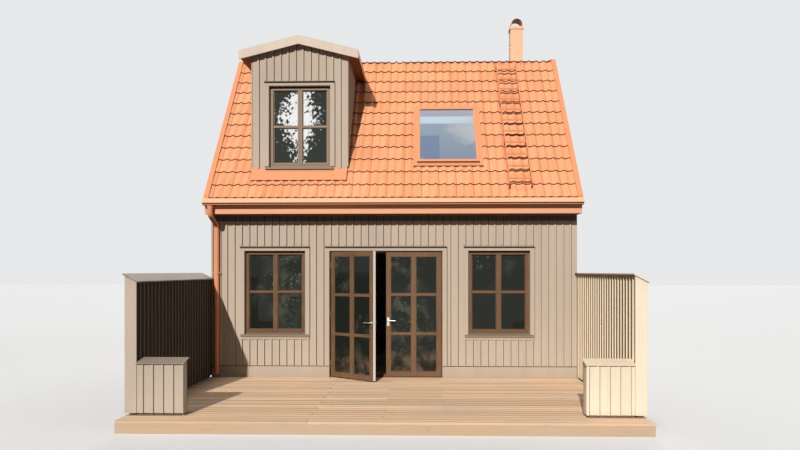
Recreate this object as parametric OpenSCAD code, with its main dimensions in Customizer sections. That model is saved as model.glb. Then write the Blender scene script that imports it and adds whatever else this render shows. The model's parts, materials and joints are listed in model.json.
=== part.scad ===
// A two-storey terraced house with a broken-pitch tiled roof, a dormer and a timber terrace.
// X runs along the row, +Y to the rear and +Z up. The origin is the middle of the slab's underside.

/* [House] */
// Width of the house over its two party walls
house_w = 6050; // [5900:50:7200]
// Depth from the front cladding to the rear cladding
house_d = 8400; // [7800:100:9600]
// Thickness of the front and rear walls behind their cladding
wall_t = 278; // [200:2:350]
// Thickness of each party wall
party_t = 200; // [120:10:240]
// Thickness of the cladding boards
clad_t = 22; // [18:1:30]
// Thickness of the ground slab
slab_t = 120; // [80:10:160]
// Thickness of the floor laid on the slab
floor_t = 60; // [40:5:90]
// Height of the upper floor's underside above the ground
storey_z = 2700; // [2600:20:2760]
// Thickness of the upper floor
upper_t = 250; // [200:10:320]
// Height of the plinth boards above the slab
plinth_h = 220; // [150:10:300]
// Thickness of the plinth boards
plinth_t = 12; // [10:1:18]
// Gap left between sloping faces that rest on each other
seat_gap = 0.3; // [0.2:0.1:0.6]

/* [Roof] */
// Pitch of the steep lower slopes
lower_pitch = 52; // [49:1:54]
// Pitch of the shallow upper slopes
upper_pitch = 13; // [8:1:16]
// Level distance from the wall's face to the tiles' lower edge
eave_out = 420; // [380:10:460]
// Height of the tiles' lower edge above the upper floor's top
eave_up = 144; // [130:2:170]
// Level run of a lower slope
lower_run = 2210; // [2160:10:2300]
// Thickness of the tile layer
tile_t = 50; // [46:2:60]
// Thickness of the rafters and boards under the tiles
deck_t = 200; // [150:10:220]
// Courses of tiles on a lower slope
courses = 12; // [10:1:14]
// Height of the step from one course to the next
course_step = 18; // [10:1:24]
// Courses of tiles on an upper slope
top_courses = 8; // [6:1:10]
// Rolls of the tiles across a slope
rolls = 42; // [20:2:60]
// Width of a roll at its foot
roll_w = 92; // [60:2:110]
// Height of a roll above the trough beside it
roll_h = 26; // [18:1:28]
// Radius of the ridge tiles
ridge_r = 110; // [90:5:130]
// Thickness of the ridge tiles
ridge_t = 16; // [12:1:22]
// Width of a verge flashing
verge_w = 80; // [60:5:110]
// Height that a verge flashing stands above the tiles
verge_up = 14; // [8:1:20]

/* [Eaves] */
// Width of the boxed eave from the wall's face to the back of the fascia
soffit_out = 340; // [300:5:370]
// Thickness of the soffit boards and the fascia
eave_board_t = 20; // [16:1:26]
// Height of the fascia
fascia_h = 232; // [200:2:240]
// Height of the eave's outriggers
outrigger_h = 100; // [80:5:120]
// Width of the gutter
gutter_w = 130; // [110:5:150]
// Depth of the gutter
gutter_h = 111; // [95:1:125]
// Thickness of the gutter's sheet
gutter_t = 4; // [3:0.5:6]
// Gap between the fascia and the gutter
gutter_gap = 12; // [8:1:20]
// Height of the gutter's edge above the fascia
gutter_rise = 5; // [0:1:12]
// Number of brackets that carry a gutter
brackets = 8; // [6:1:12]
// Width of a gutter bracket
bracket_w = 25; // [18:1:35]
// Height of a gutter bracket
bracket_h = 45; // [30:1:50]
// Outer diameter of a downpipe
pipe_d = 82; // [70:1:100]
// Thickness of a downpipe's wall
pipe_t = 4; // [3:0.5:6]
// Distance of a downpipe's middle from the wall's face
pipe_out = 70; // [64:1:90]
// Distance of a downpipe's middle from the end of the house
pipe_in = 110; // [80:5:200]
// Angle of the neck's slant from the upright
neck_angle = 70; // [60:1:72]
// Depth of the neck's upper bend below the soffit
neck_drop = 25; // [22:1:50]
// Reach of a bend or a clip past the pipe's surface
ring_t = 5; // [3:1:8]
// Height of the funnel under the gutter
funnel_h = 60; // [40:5:80]
// Width of the funnel's mouth
funnel_d = 104; // [100:2:120]
// Height of a downpipe's clips
clip_h = 30; // [20:2:40]
// Width of the arm that holds a clip to the wall
clip_w = 24; // [16:2:34]
// Height of a downpipe's foot above the deck
foot_up = 60; // [20:5:120]
// Height of a downpipe's lower clip above the deck
clip_low = 760; // [500:10:1000]
// Height of a downpipe's upper clip above the deck
clip_high = 1720; // [1500:10:2000]

/* [Windows] */
// Width of a ground floor window frame
window_w = 1015; // [900:5:1100]
// Height of a ground floor window frame
window_h = 1372; // [1200:4:1420]
// Height of the window and door heads above the ground
head_z = 2245; // [2200:5:2290]
// Distance of the left front window's middle from the left end of the house
window_left_in = 1064; // [1020:2:1100]
// Distance of the right front window's middle from the right end of the house
window_right_in = 1275; // [1100:5:1400]
// Width of a window frame's outer members
stile_w = 62; // [50:1:75]
// Width of a window's centre post
post_w = 68; // [50:1:80]
// Width of a window's thin cross bar
bar_w = 28; // [20:1:36]
// Depth of a window frame
frame_d = 90; // [70:2:110]
// Setback of a window frame behind the cladding's face
recess = 60; // [40:2:80]
// Thickness of a glass unit
glass_t = 24; // [20:1:30]
// Width of the casings round the windows and the doors
casing_w = 72; // [66:2:90]
// Thickness of the casings
casing_t = 24; // [18:1:30]
// Reach of a head or sill flashing past the casing's face
flashing_out = 30; // [20:2:50]
// Thickness of a head or sill flashing
flashing_t = 10; // [6:1:14]
// Height of the casing's head board
casing_head_h = 60; // [50:2:80]
// Height of the casing's board under a window
casing_foot_h = 94; // [80:2:110]
// Fall of a sill flashing towards its front edge
sill_fall = 28; // [16:1:34]
// Reach of a sill flashing past the sides of its window
sill_reach = 60; // [40:2:62]
// Height of a sill flashing's turned-down front edge
lip_h = 20; // [14:1:30]

/* [French door] */
// Middle of the French door
door_x = -117; // [-160:1:-60]
// Width of the door's frame
door_w = 1871; // [1800:1:1900]
// Depth of the door's frame
door_frame_d = 130; // [120:2:160]
// Setback of the door's face behind the cladding's face
door_set = 4; // [2:1:10]
// Width of the frame's face beside the leaves
frame_show = 14; // [10:1:20]
// Width of the frame's stop behind the leaves
stop_w = 28; // [20:1:36]
// Clearance between a leaf and the frame
leaf_gap = 6; // [6:1:8]
// Clearance between the two leaves
meet_gap = 10; // [10:1:14]
// Thickness of a leaf
leaf_t = 56; // [48:1:60]
// Width of a leaf's stiles and rails
leaf_stile = 70; // [60:1:80]
// Width of a leaf's centre bar
leaf_post = 66; // [50:1:76]
// Width of a leaf's thin cross bars
leaf_bar = 25; // [18:1:32]
// Angle that the left leaf stands open at rest
left_open = 36; // [0:1:90]
// Diameter of a hinge knuckle
knuckle_d = 16; // [14:0.5:18]
// Diameter of a hinge pin
pin_d = 8; // [6:0.5:9]
// Clearance round a hinge pin
pin_gap = 0.3; // [0.2:0.05:0.5]
// Height of one hinge knuckle
knuckle_h = 42; // [36:1:50]
// Distance of the end hinges from a leaf's ends
hinge_end = 180; // [120:5:260]
// Gap between a hinge's two knuckles, and between a knuckle and the door's face
knuckle_gap = 1; // [0.5:0.5:2]
// Distance of a hinge pin's end below the top of its upper knuckle
pin_short = 6; // [4:1:10]
// Height of the door handles above the deck
handle_up = 940; // [900:5:1050]
// Length of a door lever
lever_l = 120; // [100:2:140]
// Diameter of a door lever
lever_d = 19; // [16:1:22]
// Distance of a lever's middle from the leaf's face
lever_out = 52; // [45:1:60]
// Height of a handle's back plate
plate_h = 143; // [120:1:180]
// Width of a handle's back plate
plate_w = 34; // [28:1:40]
// Thickness of a handle's back plate
plate_t = 8; // [6:1:10]

/* [Rear] */
// Distance of the left rear window's middle from the left end of the house
rear_left_in = 1275; // [1120:5:1500]
// Distance of the right rear window's middle from the right end of the house
rear_right_in = 1125; // [1000:5:1200]
// Middle of the rear door
rear_door_x = 200; // [0:10:350]
// Width of the rear door's frame
rear_door_w = 990; // [900:10:1050]
// Width of the rear door's frame members
rear_jamb_w = 50; // [40:2:60]
// Thickness of the rear door's leaf
rear_leaf_t = 50; // [40:2:60]
// Setback of the rear door's leaf in its frame
rear_leaf_set = 10; // [6:1:16]
// Height of the rear step
step_h = 150; // [120:5:170]
// Depth of the rear step
step_d = 400; // [300:20:480]
// Width of the rear step
step_w = 1300; // [1100:50:1600]

/* [Dormer] */
// Distance of the dormer's middle from the left end of the house
dormer_in = 1483; // [1350:1:1600]
// Distance by which the dormer's face stands in front of the wall's face
dormer_fwd = 34; // [20:1:50]
// Width of the dormer over its cheeks
dormer_w = 1576; // [1500:2:1640]
// Thickness of the dormer's cheeks
cheek_t = 100; // [80:5:140]
// Thickness of the dormer's front wall
dormer_wall_t = 120; // [100:5:160]
// Height of the dormer's ridge above the tiles' lower edge
dormer_ridge_up = 2681; // [2650:1:2705]
// Pitch of the dormer's roof
dormer_pitch = 14; // [12:1:18]
// Half the width of the dormer's roof
dormer_half = 982; // [940:2:1020]
// Thickness of the dormer's roof
dormer_roof_t = 100; // [80:5:120]
// Reach of the dormer's roof past the dormer's face
dormer_out = 111; // [90:1:180]
// Thickness of the bargeboards
barge_t = 25; // [18:1:32]
// Height of the bargeboards
barge_h = 146; // [120:2:170]
// Width of the dormer's window frame
dormer_window_w = 1020; // [900:5:1060]
// Height of the dormer's window frame
dormer_window_h = 1334; // [1200:2:1360]
// Height of the dormer window's sill above the tiles in front of it
dormer_sill_up = 52; // [50:1:72]
// Level position of the upper edge of the roof's dormer opening, behind the wall's face
dormer_cut = 1500; // [1300:20:1560]
// Length of the apron flashing down the slope
apron_l = 245; // [180:5:280]
// Thickness of the apron flashing
apron_t = 10; // [6:1:14]
// Height of the apron's turned-up edge against the dormer
apron_up = 5; // [3:1:8]

/* [Roof window and ladder] */
// Distance of the roof window's middle from the right end of the house
skylight_in = 2107; // [1950:1:2300]
// Distance up the slope of the roof window's flashing
skylight_up = 706; // [650:2:800]
// Width of the roof window's flashing
skylight_w = 1160; // [1080:10:1240]
// Length of the roof window's flashing
skylight_l = 1510; // [1400:10:1600]
// Width of the flashing round the frame
skylight_flash = 62; // [50:1:80]
// Width of the roof window's frame
skylight_frame = 50; // [40:1:60]
// Height of the roof window's frame above the tiles
skylight_raise = 45; // [30:1:60]
// Depth of the roof window's frame below the tiles
skylight_deep = 120; // [80:5:180]
// Height of the roof window's flashing above the tiles
skylight_up_t = 6; // [4:1:12]
// Setback of the roof window's glass in its frame
pane_set = 10; // [6:1:16]
// Distance of the roof ladder's middle from the right end of the house
ladder_in = 968; // [840:1:1020]
// Distance between the middles of the ladder's rails
ladder_w = 355; // [300:5:400]
// Distance up the slope of the ladder's lower end
ladder_up = 187; // [150:1:260]
// Length of the ladder
ladder_l = 3135; // [3000:5:3220]
// Distance of the first rung from the ladder's lower end
rung_first = 127; // [80:1:160]
// Distance from one rung to the next
rung_pitch = 287; // [270:1:300]
// Diameter of a rung
rung_d = 24; // [20:1:30]
// Width of a rail
rail_w = 14; // [10:1:20]
// Depth of a rail
rail_d = 44; // [36:1:56]
// Height of the rails above the tiles
ladder_raise = 70; // [50:2:100]
// Width of the feet that hold the rails off the tiles
ladder_foot_w = 30; // [20:2:44]

/* [Vent stack] */
// Distance of the stack's middle from the end of the house
stack_in = 405; // [360:5:500]
// Side of the square stack
stack_w = 275; // [240:5:320]
// Thickness of the stack's walls
stack_t = 30; // [20:2:40]
// Height of the stack's top above the roof's ridge
stack_up = 898; // [750:2:1000]
// Width of the collar at the stack's top
collar_w = 307; // [290:1:340]
// Height of the collar
collar_h = 60; // [40:2:90]
// Outer radius of the round hood
hood_r = 128; // [110:1:140]
// Height of the hood's legs
hood_leg = 45; // [30:1:70]
// Thickness of the hood's sheet
hood_t = 8; // [5:1:12]
// Width of the hood's legs
hood_leg_w = 24; // [16:2:40]

/* [Terrace] */
// Depth of the deck in front of the wall
deck_d = 3380; // [3000:20:3800]
// Height of the deck's top above the ground
deck_z = 150; // [130:5:170]
// Thickness of the deck boards
board_t = 28; // [22:1:34]
// Width of a deck joist
joist_w = 48; // [40:1:60]
// Number of deck joists
joists = 11; // [9:1:13]
// Distance of a screen's inner face from the end of the house
screen_in = 20; // [0:5:60]
// Thickness of a screen
screen_t = 145; // [120:1:160]
// Length of a screen from the wall's face
screen_l = 3100; // [2700:20:3300]
// Height of a screen's high edge above the deck
screen_h = 1720; // [1500:10:1900]
// Fall of a screen's cap across its width
cap_fall = 75; // [40:5:90]
// Length of a low wall from its screen
low_l = 574; // [400:2:800]
// Height of a low wall's back edge above the deck
low_h = 690; // [550:10:900]
// Fall of a low wall's cap
low_fall = 38; // [20:2:60]
// Reach of a cap past the boards
cap_out = 20; // [12:1:30]
// Thickness of a cap
cap_t = 16; // [10:1:24]
// Height of the recessed foot under the boards
foot_h = 33; // [20:1:50]
// Setback of the foot behind the boards
foot_in = 20; // [10:1:30]

/* [Hidden] */
$fn = 48;
eps = 1;
far = 20000;

face_y = house_d / 2;                 // cladding face, from the middle of the house
core_y = face_y - clad_t;             // outer face of the wall behind the cladding
room_y = core_y - wall_t;             // inner face of the wall
half_w = house_w / 2;
room_x = half_w - party_t;
upper_z = storey_z + upper_t;
eave_y = face_y + eave_out;
rise = tan(lower_pitch);
eave_z = upper_z + eave_up;
ridge_z = eave_z + lower_run * rise + (eave_y - lower_run) * tan(upper_pitch);
slope_l = lower_run / cos(lower_pitch);
upper_l = (eave_y - lower_run) / cos(upper_pitch);
course_l = slope_l / courses;
field_w = house_w - 2 * verge_w;      // width of the tiles between the verges
roll_pitch = field_w / rolls;
mitre_run = tan((lower_pitch - upper_pitch) / 2); // lean of the tiles' joint at the roof's break
under = tile_t + deck_t;              // depth of the roof's underside below the tiles
bed = tile_t - seat_gap;              // depth of the tiles' own underside
fascia_y = face_y + soffit_out;
soffit_z = upper_z - outrigger_h - eave_board_t;
frame_y = face_y - recess;
window_z = head_z - window_h;
gutter_y = fascia_y + eave_board_t + gutter_gap + gutter_w / 2;
gutter_z = soffit_z + fascia_h + gutter_rise;
neck_z = soffit_z - neck_drop;        // height of the neck's upper bend
pipe_foot = deck_z + foot_up;
pipe_clips = [deck_z + clip_low, deck_z + clip_high];
sill_depth = recess + casing_t + flashing_out;
sill_slope = sill_fall / sill_depth;
sill_bed = recess * sill_slope + flashing_t + seat_gap; // depth of the step cut in a wall for a sill
window_left_x = window_left_in - half_w;
window_right_x = half_w - window_right_in;
rear_left_x = rear_left_in - half_w;
rear_right_x = half_w - rear_right_in;
dormer_x = dormer_in - half_w;
dormer_y = face_y + dormer_fwd;       // the dormer's face
dormer_ridge_z = eave_z + dormer_ridge_up;
dormer_sill_z = lower_z(dormer_y, 0) + dormer_sill_up;
skylight_x = half_w - skylight_in;
ladder_x = half_w - ladder_in;
stack_z = ridge_z + stack_up;
screen_gap = house_w - 2 * screen_in; // distance between the two screens
timber = [0.80, 0.74, 0.64];
brown = [0.50, 0.34, 0.25];
clay = [0.86, 0.50, 0.32];
steel = [0.82, 0.50, 0.34];
render = [0.78, 0.76, 0.72];
pane = [0.30, 0.38, 0.42];
chrome = [0.78, 0.78, 0.76];
decking = [0.70, 0.52, 0.38];

// Height of a roof surface that lies d below the tiles' faces, at a level distance y from the ridge
function lower_z(y, d) = eave_z + (eave_y - y) * rise - d / cos(lower_pitch);
function upper_zz(y, d) = ridge_z - y * tan(upper_pitch) - d / cos(upper_pitch);
// Distance from the ridge at which the lower slope is at the height z
function lower_y(z, d) = eave_y - (z - eave_z + d / cos(lower_pitch)) / rise;
// The break between the two slopes, d below the tiles' faces, as [distance from the ridge, height]
function break_y(d) = (eave_z + eave_y * rise - ridge_z - d / cos(lower_pitch) + d / cos(upper_pitch))
    / (rise - tan(upper_pitch));
function break_at(d) = [break_y(d), lower_z(break_y(d), d)];
function mirrored(points) = [for (p = points) [-p[0], p[1]]];
function reversed(list) = [for (i = [len(list) - 1 : -1 : 0]) list[i]];
// Height of a lower slope's tiles in its frame: across the rolls, within r of x, and up from y0 to y1
function roll_fall(x, r) = -roll_h * min(1, max(0, to_roll(x + field_w / 2) - r) * 2 / roll_w);
function to_roll(x) = abs(x - round(x / roll_pitch) * roll_pitch);
function course_top(y0, y1) = floor(y0 / course_l) < floor(y1 / course_l) ? 0
    : -course_step * (y0 / course_l - floor(y0 / course_l));
// Height of the dormer roof's surface that lies d below its top, at a distance x from its ridge
function dormer_z(x, d) = dormer_ridge_z - abs(x) * tan(dormer_pitch) - d / cos(dormer_pitch);

module box(x0, x1, y0, y1, z0, z1) {
    translate([x0, y0, z0]) cube([x1 - x0, y1 - y0, z1 - z0]);
}

// Extrudes an outline drawn in Y and Z from x0 to x1
module across(x0, x1) {
    translate([x0, 0, 0]) rotate([90, 0, 90]) linear_extrude(x1 - x0) children();
}

// Extrudes an outline drawn in X and Z from y0 to y1
module along(y0, y1) {
    translate([0, y1, 0]) rotate([90, 0, 0]) linear_extrude(y1 - y0) children();
}

module both_sides() {
    children();
    mirror([0, 1, 0]) children();
}

// Local frame of the front slope: X across, Y up the slope from the tiles' edge, Z outwards
module on_slope() {
    translate([0, -eave_y, eave_z]) rotate([lower_pitch, 0, 0]) children();
}

// Panes of a grid of lights inside a frame of width w and height h that stands on z = 0
module lights(w, h, side, post, bar, rows, y0, y1) {
    pane_w = (w - 2 * side - post) / 2;
    pane_h = (h - 2 * side - (rows - 1) * bar) / rows;
    for (sx = [-1, 1], row = [0 : rows - 1])
        translate([sx * (post + pane_w) / 2, 0, side + row * (pane_h + bar)])
            box(-pane_w / 2, pane_w / 2, y0, y1, 0, pane_h);
}

module window_frame(w, h) {
    difference() {
        box(-w / 2, w / 2, 0, frame_d, 0, h);
        lights(w, h, stile_w, post_w, bar_w, 2, -eps, frame_d + eps);
    }
}

module window_panes(w, h) {
    lights(w, h, stile_w, post_w, bar_w, 2, (frame_d - glass_t) / 2, (frame_d + glass_t) / 2);
}

// Puts its children at the two front windows
module at_front_windows() {
    for (x = [window_left_x, window_right_x]) translate([x, -frame_y, window_z]) children();
}

// Puts its children at the two rear windows, turned to face the rear
module at_rear_windows() {
    for (x = [rear_left_x, rear_right_x])
        translate([x, frame_y, window_z]) rotate([0, 0, 180]) children();
}

module at_dormer_window() {
    translate([dormer_x, recess - dormer_y, dormer_sill_z]) children();
}

// Opening for a window whose frame stands at y = 0, with a lower step in front of it for the sill
module window_hole(w, h, depth) {
    box(-w / 2, w / 2, -recess - eps, depth, 0, h);
    box(-w / 2, w / 2, -recess - eps, 0, -sill_bed, eps);
}

// Holes through a front or rear wall for its windows and its doorway
module front_holes() {
    at_front_windows() window_hole(window_w, window_h, wall_t);
    translate([door_x, 0, 0])
        box(-door_w / 2, door_w / 2, -face_y - eps, -room_y + eps, 0, head_z);
}

module rear_holes() {
    at_rear_windows() window_hole(window_w, window_h, wall_t);
    translate([rear_door_x, 0, 0])
        box(-rear_door_w / 2, rear_door_w / 2, room_y - eps, face_y + eps, 0, head_z);
}

module ground_slab() {
    color(render) box(-half_w, half_w, -core_y, core_y, 0, slab_t);
}

module ground_floor() {
    color(decking) box(-room_x, room_x, -room_y, room_y, slab_t, slab_t + floor_t);
}

module upper_floor() {
    color(decking) {
        box(-room_x, room_x, -core_y, core_y, storey_z, upper_z);
        both_sides() box(-half_w, half_w, -fascia_y, -core_y, upper_z - outrigger_h, upper_z);
    }
}

module front_wall_left() {
    color(render) difference() {
        box(-room_x, door_x - door_w / 2, -core_y, -room_y, slab_t, storey_z);
        front_holes();
    }
}

module front_wall_right() {
    color(render) difference() {
        box(door_x + door_w / 2, room_x, -core_y, -room_y, slab_t, storey_z);
        front_holes();
    }
}

module front_wall_head() {
    color(render) box(door_x - door_w / 2, door_x + door_w / 2, -core_y, -room_y, head_z, storey_z);
}

module rear_wall() {
    color(render) difference() {
        box(-room_x, room_x, room_y, core_y, slab_t, storey_z);
        rear_holes();
    }
}

// Outline of a party wall, from the slab up to the underside of the roof
module party_outline() {
    half = [
        [core_y, slab_t], [core_y, upper_z], [lower_y(upper_z, under), upper_z],
        break_at(under)
    ];
    polygon(concat(half, [[0, upper_zz(0, under)]], reversed(mirrored(half))));
}

module party_wall_left() {
    color(render) across(-half_w, -room_x) party_outline();
}

module party_wall_right() {
    color(render) across(room_x, half_w) party_outline();
}

module cladding() {
    clad_z = slab_t + plinth_h;
    color(timber) {
        difference() {
            box(-half_w, half_w, -face_y, -core_y, clad_z, soffit_z);
            front_holes();
        }
        difference() {
            box(-half_w, half_w, core_y, face_y, clad_z, soffit_z);
            rear_holes();
        }
    }
}

module plinth_boards() {
    color(timber) {
        difference() {
            box(-half_w, half_w, -core_y - plinth_t, -core_y, slab_t, slab_t + plinth_h);
            front_holes();
        }
        difference() {
            box(-half_w, half_w, core_y, core_y + plinth_t, slab_t, slab_t + plinth_h);
            rear_holes();
        }
    }
}

// The space that the dormer's walls take out of the front slope
module dormer_shaft(y_back) {
    translate([dormer_x, 0, 0])
        box(-dormer_w / 2, dormer_w / 2, -dormer_y, -face_y + y_back, upper_z, dormer_ridge_z);
}

// Outline of the dormer's roof between two depths below its top
module dormer_roof_outline(d0, d1, reach) {
    polygon([
        [-reach, dormer_z(reach, d0)], [0, dormer_z(0, d0)], [reach, dormer_z(reach, d0)],
        [reach, dormer_z(reach, d1)], [0, dormer_z(0, d1)], [-reach, dormer_z(reach, d1)]
    ]);
}

module dormer_roof_block() {
    translate([dormer_x, 0, 0])
        along(-dormer_y - dormer_out, 0) dormer_roof_outline(0, dormer_roof_t, dormer_half);
}

// The space that the roof window's frame takes out of the slope
module skylight_hole(grow) {
    on_slope() translate([skylight_x, skylight_up + skylight_l / 2, 0])
        box(-skylight_w / 2 + skylight_flash - grow, skylight_w / 2 - skylight_flash + grow,
            -skylight_l / 2 + skylight_flash - grow, skylight_l / 2 - skylight_flash + grow,
            -far / 10, far / 10);
}

// Everything of the front slope below a surface d under the tiles' faces
module below_slope(d) {
    on_slope() box(-far / 2, far / 2, -far / 2, far / 2, -far / 2, -d);
}

module roof_lower() {
    across(-half_w, half_w) polygon([
        break_at(tile_t), break_at(under), [lower_y(upper_z, under), upper_z],
        [fascia_y, upper_z], [fascia_y, lower_z(fascia_y, tile_t)]
    ]);
}

module roof_front() {
    color(decking) difference() {
        mirror([0, 1, 0]) roof_lower();
        dormer_shaft(dormer_cut);
        skylight_hole(0);
    }
}

module roof_rear() {
    color(decking) roof_lower();
}

module roof_top() {
    outer = break_at(tile_t);
    inner = break_at(under);
    color(decking) across(-half_w, half_w) polygon([
        outer, [0, upper_zz(0, tile_t)], [-outer[0], outer[1]],
        [-inner[0], inner[1]], [0, upper_zz(0, under)], inner
    ]);
}

// Section across a course of tiles: half a roll at each verge and flat troughs between the rolls
module tile_section() {
    r = roll_w / 2;
    inner_rolls = [for (i = [1 : rolls - 1])
        each [[i * roll_pitch - r, -roll_h], [i * roll_pitch, 0], [i * roll_pitch + r, -roll_h]]];
    translate([-field_w / 2, 0]) polygon(concat(
        [[0, -far / 10], [0, 0], [r, -roll_h]], inner_rolls,
        [[field_w - r, -roll_h], [field_w, 0], [field_w, -far / 10]]
    ));
}

// Courses of tiles in their slope's frame, each falling back under the nose of the one above.
// The lowest course's foot and the top one's head lean by these runs for each unit of depth.
module tile_courses(length, count, foot_run, head_run) {
    step = length / count;
    head_y = step - seat_gap;
    for (i = [0 : count - 1]) {
        foot = i == 0 ? foot_run : 0;
        head = i == count - 1 ? head_run : 0;
        translate([0, i * step, 0]) intersection() {
            across(-half_w, half_w) polygon([
                [-tile_t * foot, tile_t], [head_y + tile_t * head, tile_t],
                [head_y - bed * head, -bed], [bed * foot, -bed]
            ]);
            rotate([-atan(course_step / step), 0, 0]) along(-tile_t, step + tile_t) tile_section();
        }
    }
}

module lower_tiles() {
    on_slope() tile_courses(slope_l, courses, 0, mitre_run);
}

module upper_tiles() {
    translate([0, -break_at(0)[0], break_at(0)[1]]) rotate([upper_pitch, 0, 0])
        tile_courses(upper_l, top_courses, mitre_run, tan(upper_pitch));
}

module vent_shaft() {
    translate([half_w - stack_in, 0, 0])
        box(-stack_w / 2, stack_w / 2, -stack_w / 2, stack_w / 2, upper_z, stack_z);
}

// The space under the dormer's roof, with the part of a course that would stick out under its apron
module dormer_space() {
    nose = floor((eave_y - dormer_y) / cos(lower_pitch) / course_l) * course_l;
    z = roof_middle(dormer_w / 2);
    translate([dormer_x, 0, 0]) {
        along(-dormer_y, 0) polygon([
            [-dormer_w / 2, upper_z], [-dormer_w / 2, z], [0, roof_middle(0)], [dormer_w / 2, z],
            [dormer_w / 2, upper_z]
        ]);
        on_slope() box(-dormer_w / 2, dormer_w / 2, nose - seat_gap / 2, nose + course_l / 2, -far / 10, far / 10);
    }
}

function roof_middle(x) = dormer_z(x, dormer_roof_t / 2);

module tiles_front() {
    color(clay) difference() {
        lower_tiles();
        dormer_space();
        dormer_roof_block();
        skylight_hole(skylight_flash);
    }
}

module tiles_rear() {
    color(clay) mirror([0, 1, 0]) lower_tiles();
}

module tiles_top() {
    color(clay) difference() {
        both_sides() upper_tiles();
        vent_shaft();
    }
}

module ridge_tiles() {
    axis_z = upper_zz(0, 0) - ridge_r * 0.4;
    color(clay) difference() {
        across(-half_w, half_w) difference() {
            translate([0, axis_z]) circle(ridge_r);
            translate([0, axis_z]) circle(ridge_r - ridge_t);
            polygon([
                [far, upper_zz(far, -verge_up)], [0, upper_zz(0, -verge_up)], [-far, upper_zz(far, -verge_up)],
                [-far, -far], [far, -far]
            ]);
        }
        vent_shaft();
    }
}

// Outline of a verge flashing, which ends on the gutter's edge
module verge_outline() {
    outer = [[eave_y, gutter_z], [eave_y, lower_z(eave_y, -verge_up)], break_at(-verge_up)];
    inner = [break_at(bed), [lower_y(gutter_z, bed), gutter_z]];
    polygon(concat(
        outer, [[0, upper_zz(0, -verge_up)]], reversed(mirrored(outer)),
        reversed(mirrored(inner)), [[0, upper_zz(0, bed)]], inner
    ));
}

module verge_flashings() {
    color(steel) {
        across(-half_w, -half_w + verge_w) verge_outline();
        across(half_w - verge_w, half_w) verge_outline();
    }
}

module eave_boards() {
    color(steel) both_sides() across(-half_w, half_w) polygon([
        [-core_y, soffit_z], [-fascia_y - eave_board_t, soffit_z],
        [-fascia_y - eave_board_t, soffit_z + fascia_h], [-fascia_y, soffit_z + fascia_h],
        [-fascia_y, soffit_z + eave_board_t], [-core_y, soffit_z + eave_board_t]
    ]);
}

// Cross section of the gutter's trough, drawn about the middle of its top edge
module gutter_section(w, h) {
    translate([0, w / 2 - h]) circle(w / 2);
    translate([-w / 2, w / 2 - h]) square([w, h - w / 2]);
}

module gutter() {
    outlet_x = -half_w + pipe_in;
    bracket_step = house_w / brackets;
    difference() {
        across(-half_w, half_w) translate([-gutter_y, gutter_z]) intersection() {
            gutter_section(gutter_w, gutter_h);
            translate([-gutter_w, -gutter_h]) square([2 * gutter_w, gutter_h]);
        }
        across(-half_w + gutter_t, half_w - gutter_t) translate([-gutter_y, gutter_z + eps])
            gutter_section(gutter_w - 2 * gutter_t, gutter_h - gutter_t + eps);
        translate([outlet_x, -gutter_y, gutter_z - 2 * gutter_h]) cylinder(h = 2 * gutter_h, d = pipe_d - 2 * pipe_t);
    }
    for (i = [0 : brackets - 1])
        translate([-half_w + (i + 0.5) * bracket_step, 0, 0])
            box(-bracket_w / 2, bracket_w / 2, -gutter_y + gutter_w / 2, -fascia_y - eave_board_t,
                gutter_z - gutter_rise - bracket_h, gutter_z - gutter_rise);
}

module gutters() {
    color(steel) {
        gutter();
        rotate([0, 0, 180]) gutter();
    }
}

// A rod of diameter d from point a to point b
module rod(a, b, d) {
    v = b - a;
    length = norm(v);
    translate(a) rotate([0, acos(v[2] / length), atan2(v[1], v[0])]) cylinder(h = length, d = d);
}

// A downpipe from the gutter's outlet, back to the wall and down to its foot, with round elbows
module downpipe() {
    y = -face_y - pipe_out;
    reach = gutter_y - face_y - pipe_out;
    upper = [0, -gutter_y, neck_z];
    lower = [0, y, neck_z - reach / tan(neck_angle)];
    outlet = [0, -gutter_y, gutter_z - gutter_h];
    translate([-half_w + pipe_in, 0, 0]) difference() {
        union() {
            translate(outlet - [0, 0, funnel_h]) cylinder(h = funnel_h, d1 = pipe_d, d2 = funnel_d);
            rod(upper, outlet, pipe_d);
            rod(upper, lower, pipe_d);
            rod([0, y, pipe_foot], lower, pipe_d);
            for (p = [upper, lower]) translate(p) sphere(d = pipe_d + 2 * ring_t);
            for (z = pipe_clips) translate([0, y, z]) {
                cylinder(h = clip_h, d = pipe_d + 2 * ring_t);
                box(-clip_w / 2, clip_w / 2, 0, pipe_out, 0, clip_h);
            }
        }
        translate([0, y, pipe_foot - eps]) cylinder(h = pipe_d, d = pipe_d - 2 * pipe_t);
    }
}

module downpipes() {
    color(steel) {
        downpipe();
        rotate([0, 0, 180]) downpipe();
    }
}

module window_frames() {
    color(brown) {
        at_front_windows() window_frame(window_w, window_h);
        at_rear_windows() window_frame(window_w, window_h);
        at_dormer_window() window_frame(dormer_window_w, dormer_window_h);
    }
}

module window_glass() {
    color(pane) {
        at_front_windows() window_panes(window_w, window_h);
        at_rear_windows() window_panes(window_w, window_h);
        at_dormer_window() window_panes(dormer_window_w, dormer_window_h);
    }
}

// Boards beside and over an opening of width w and height h, in front of the cladding
module casing(w, h) {
    y1 = -recess;
    difference() {
        box(-w / 2 - casing_w, w / 2 + casing_w, y1 - casing_t, y1, 0, h + casing_head_h);
        box(-w / 2, w / 2, y1 - casing_t - eps, y1 + eps, -eps, h);
    }
}

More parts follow.
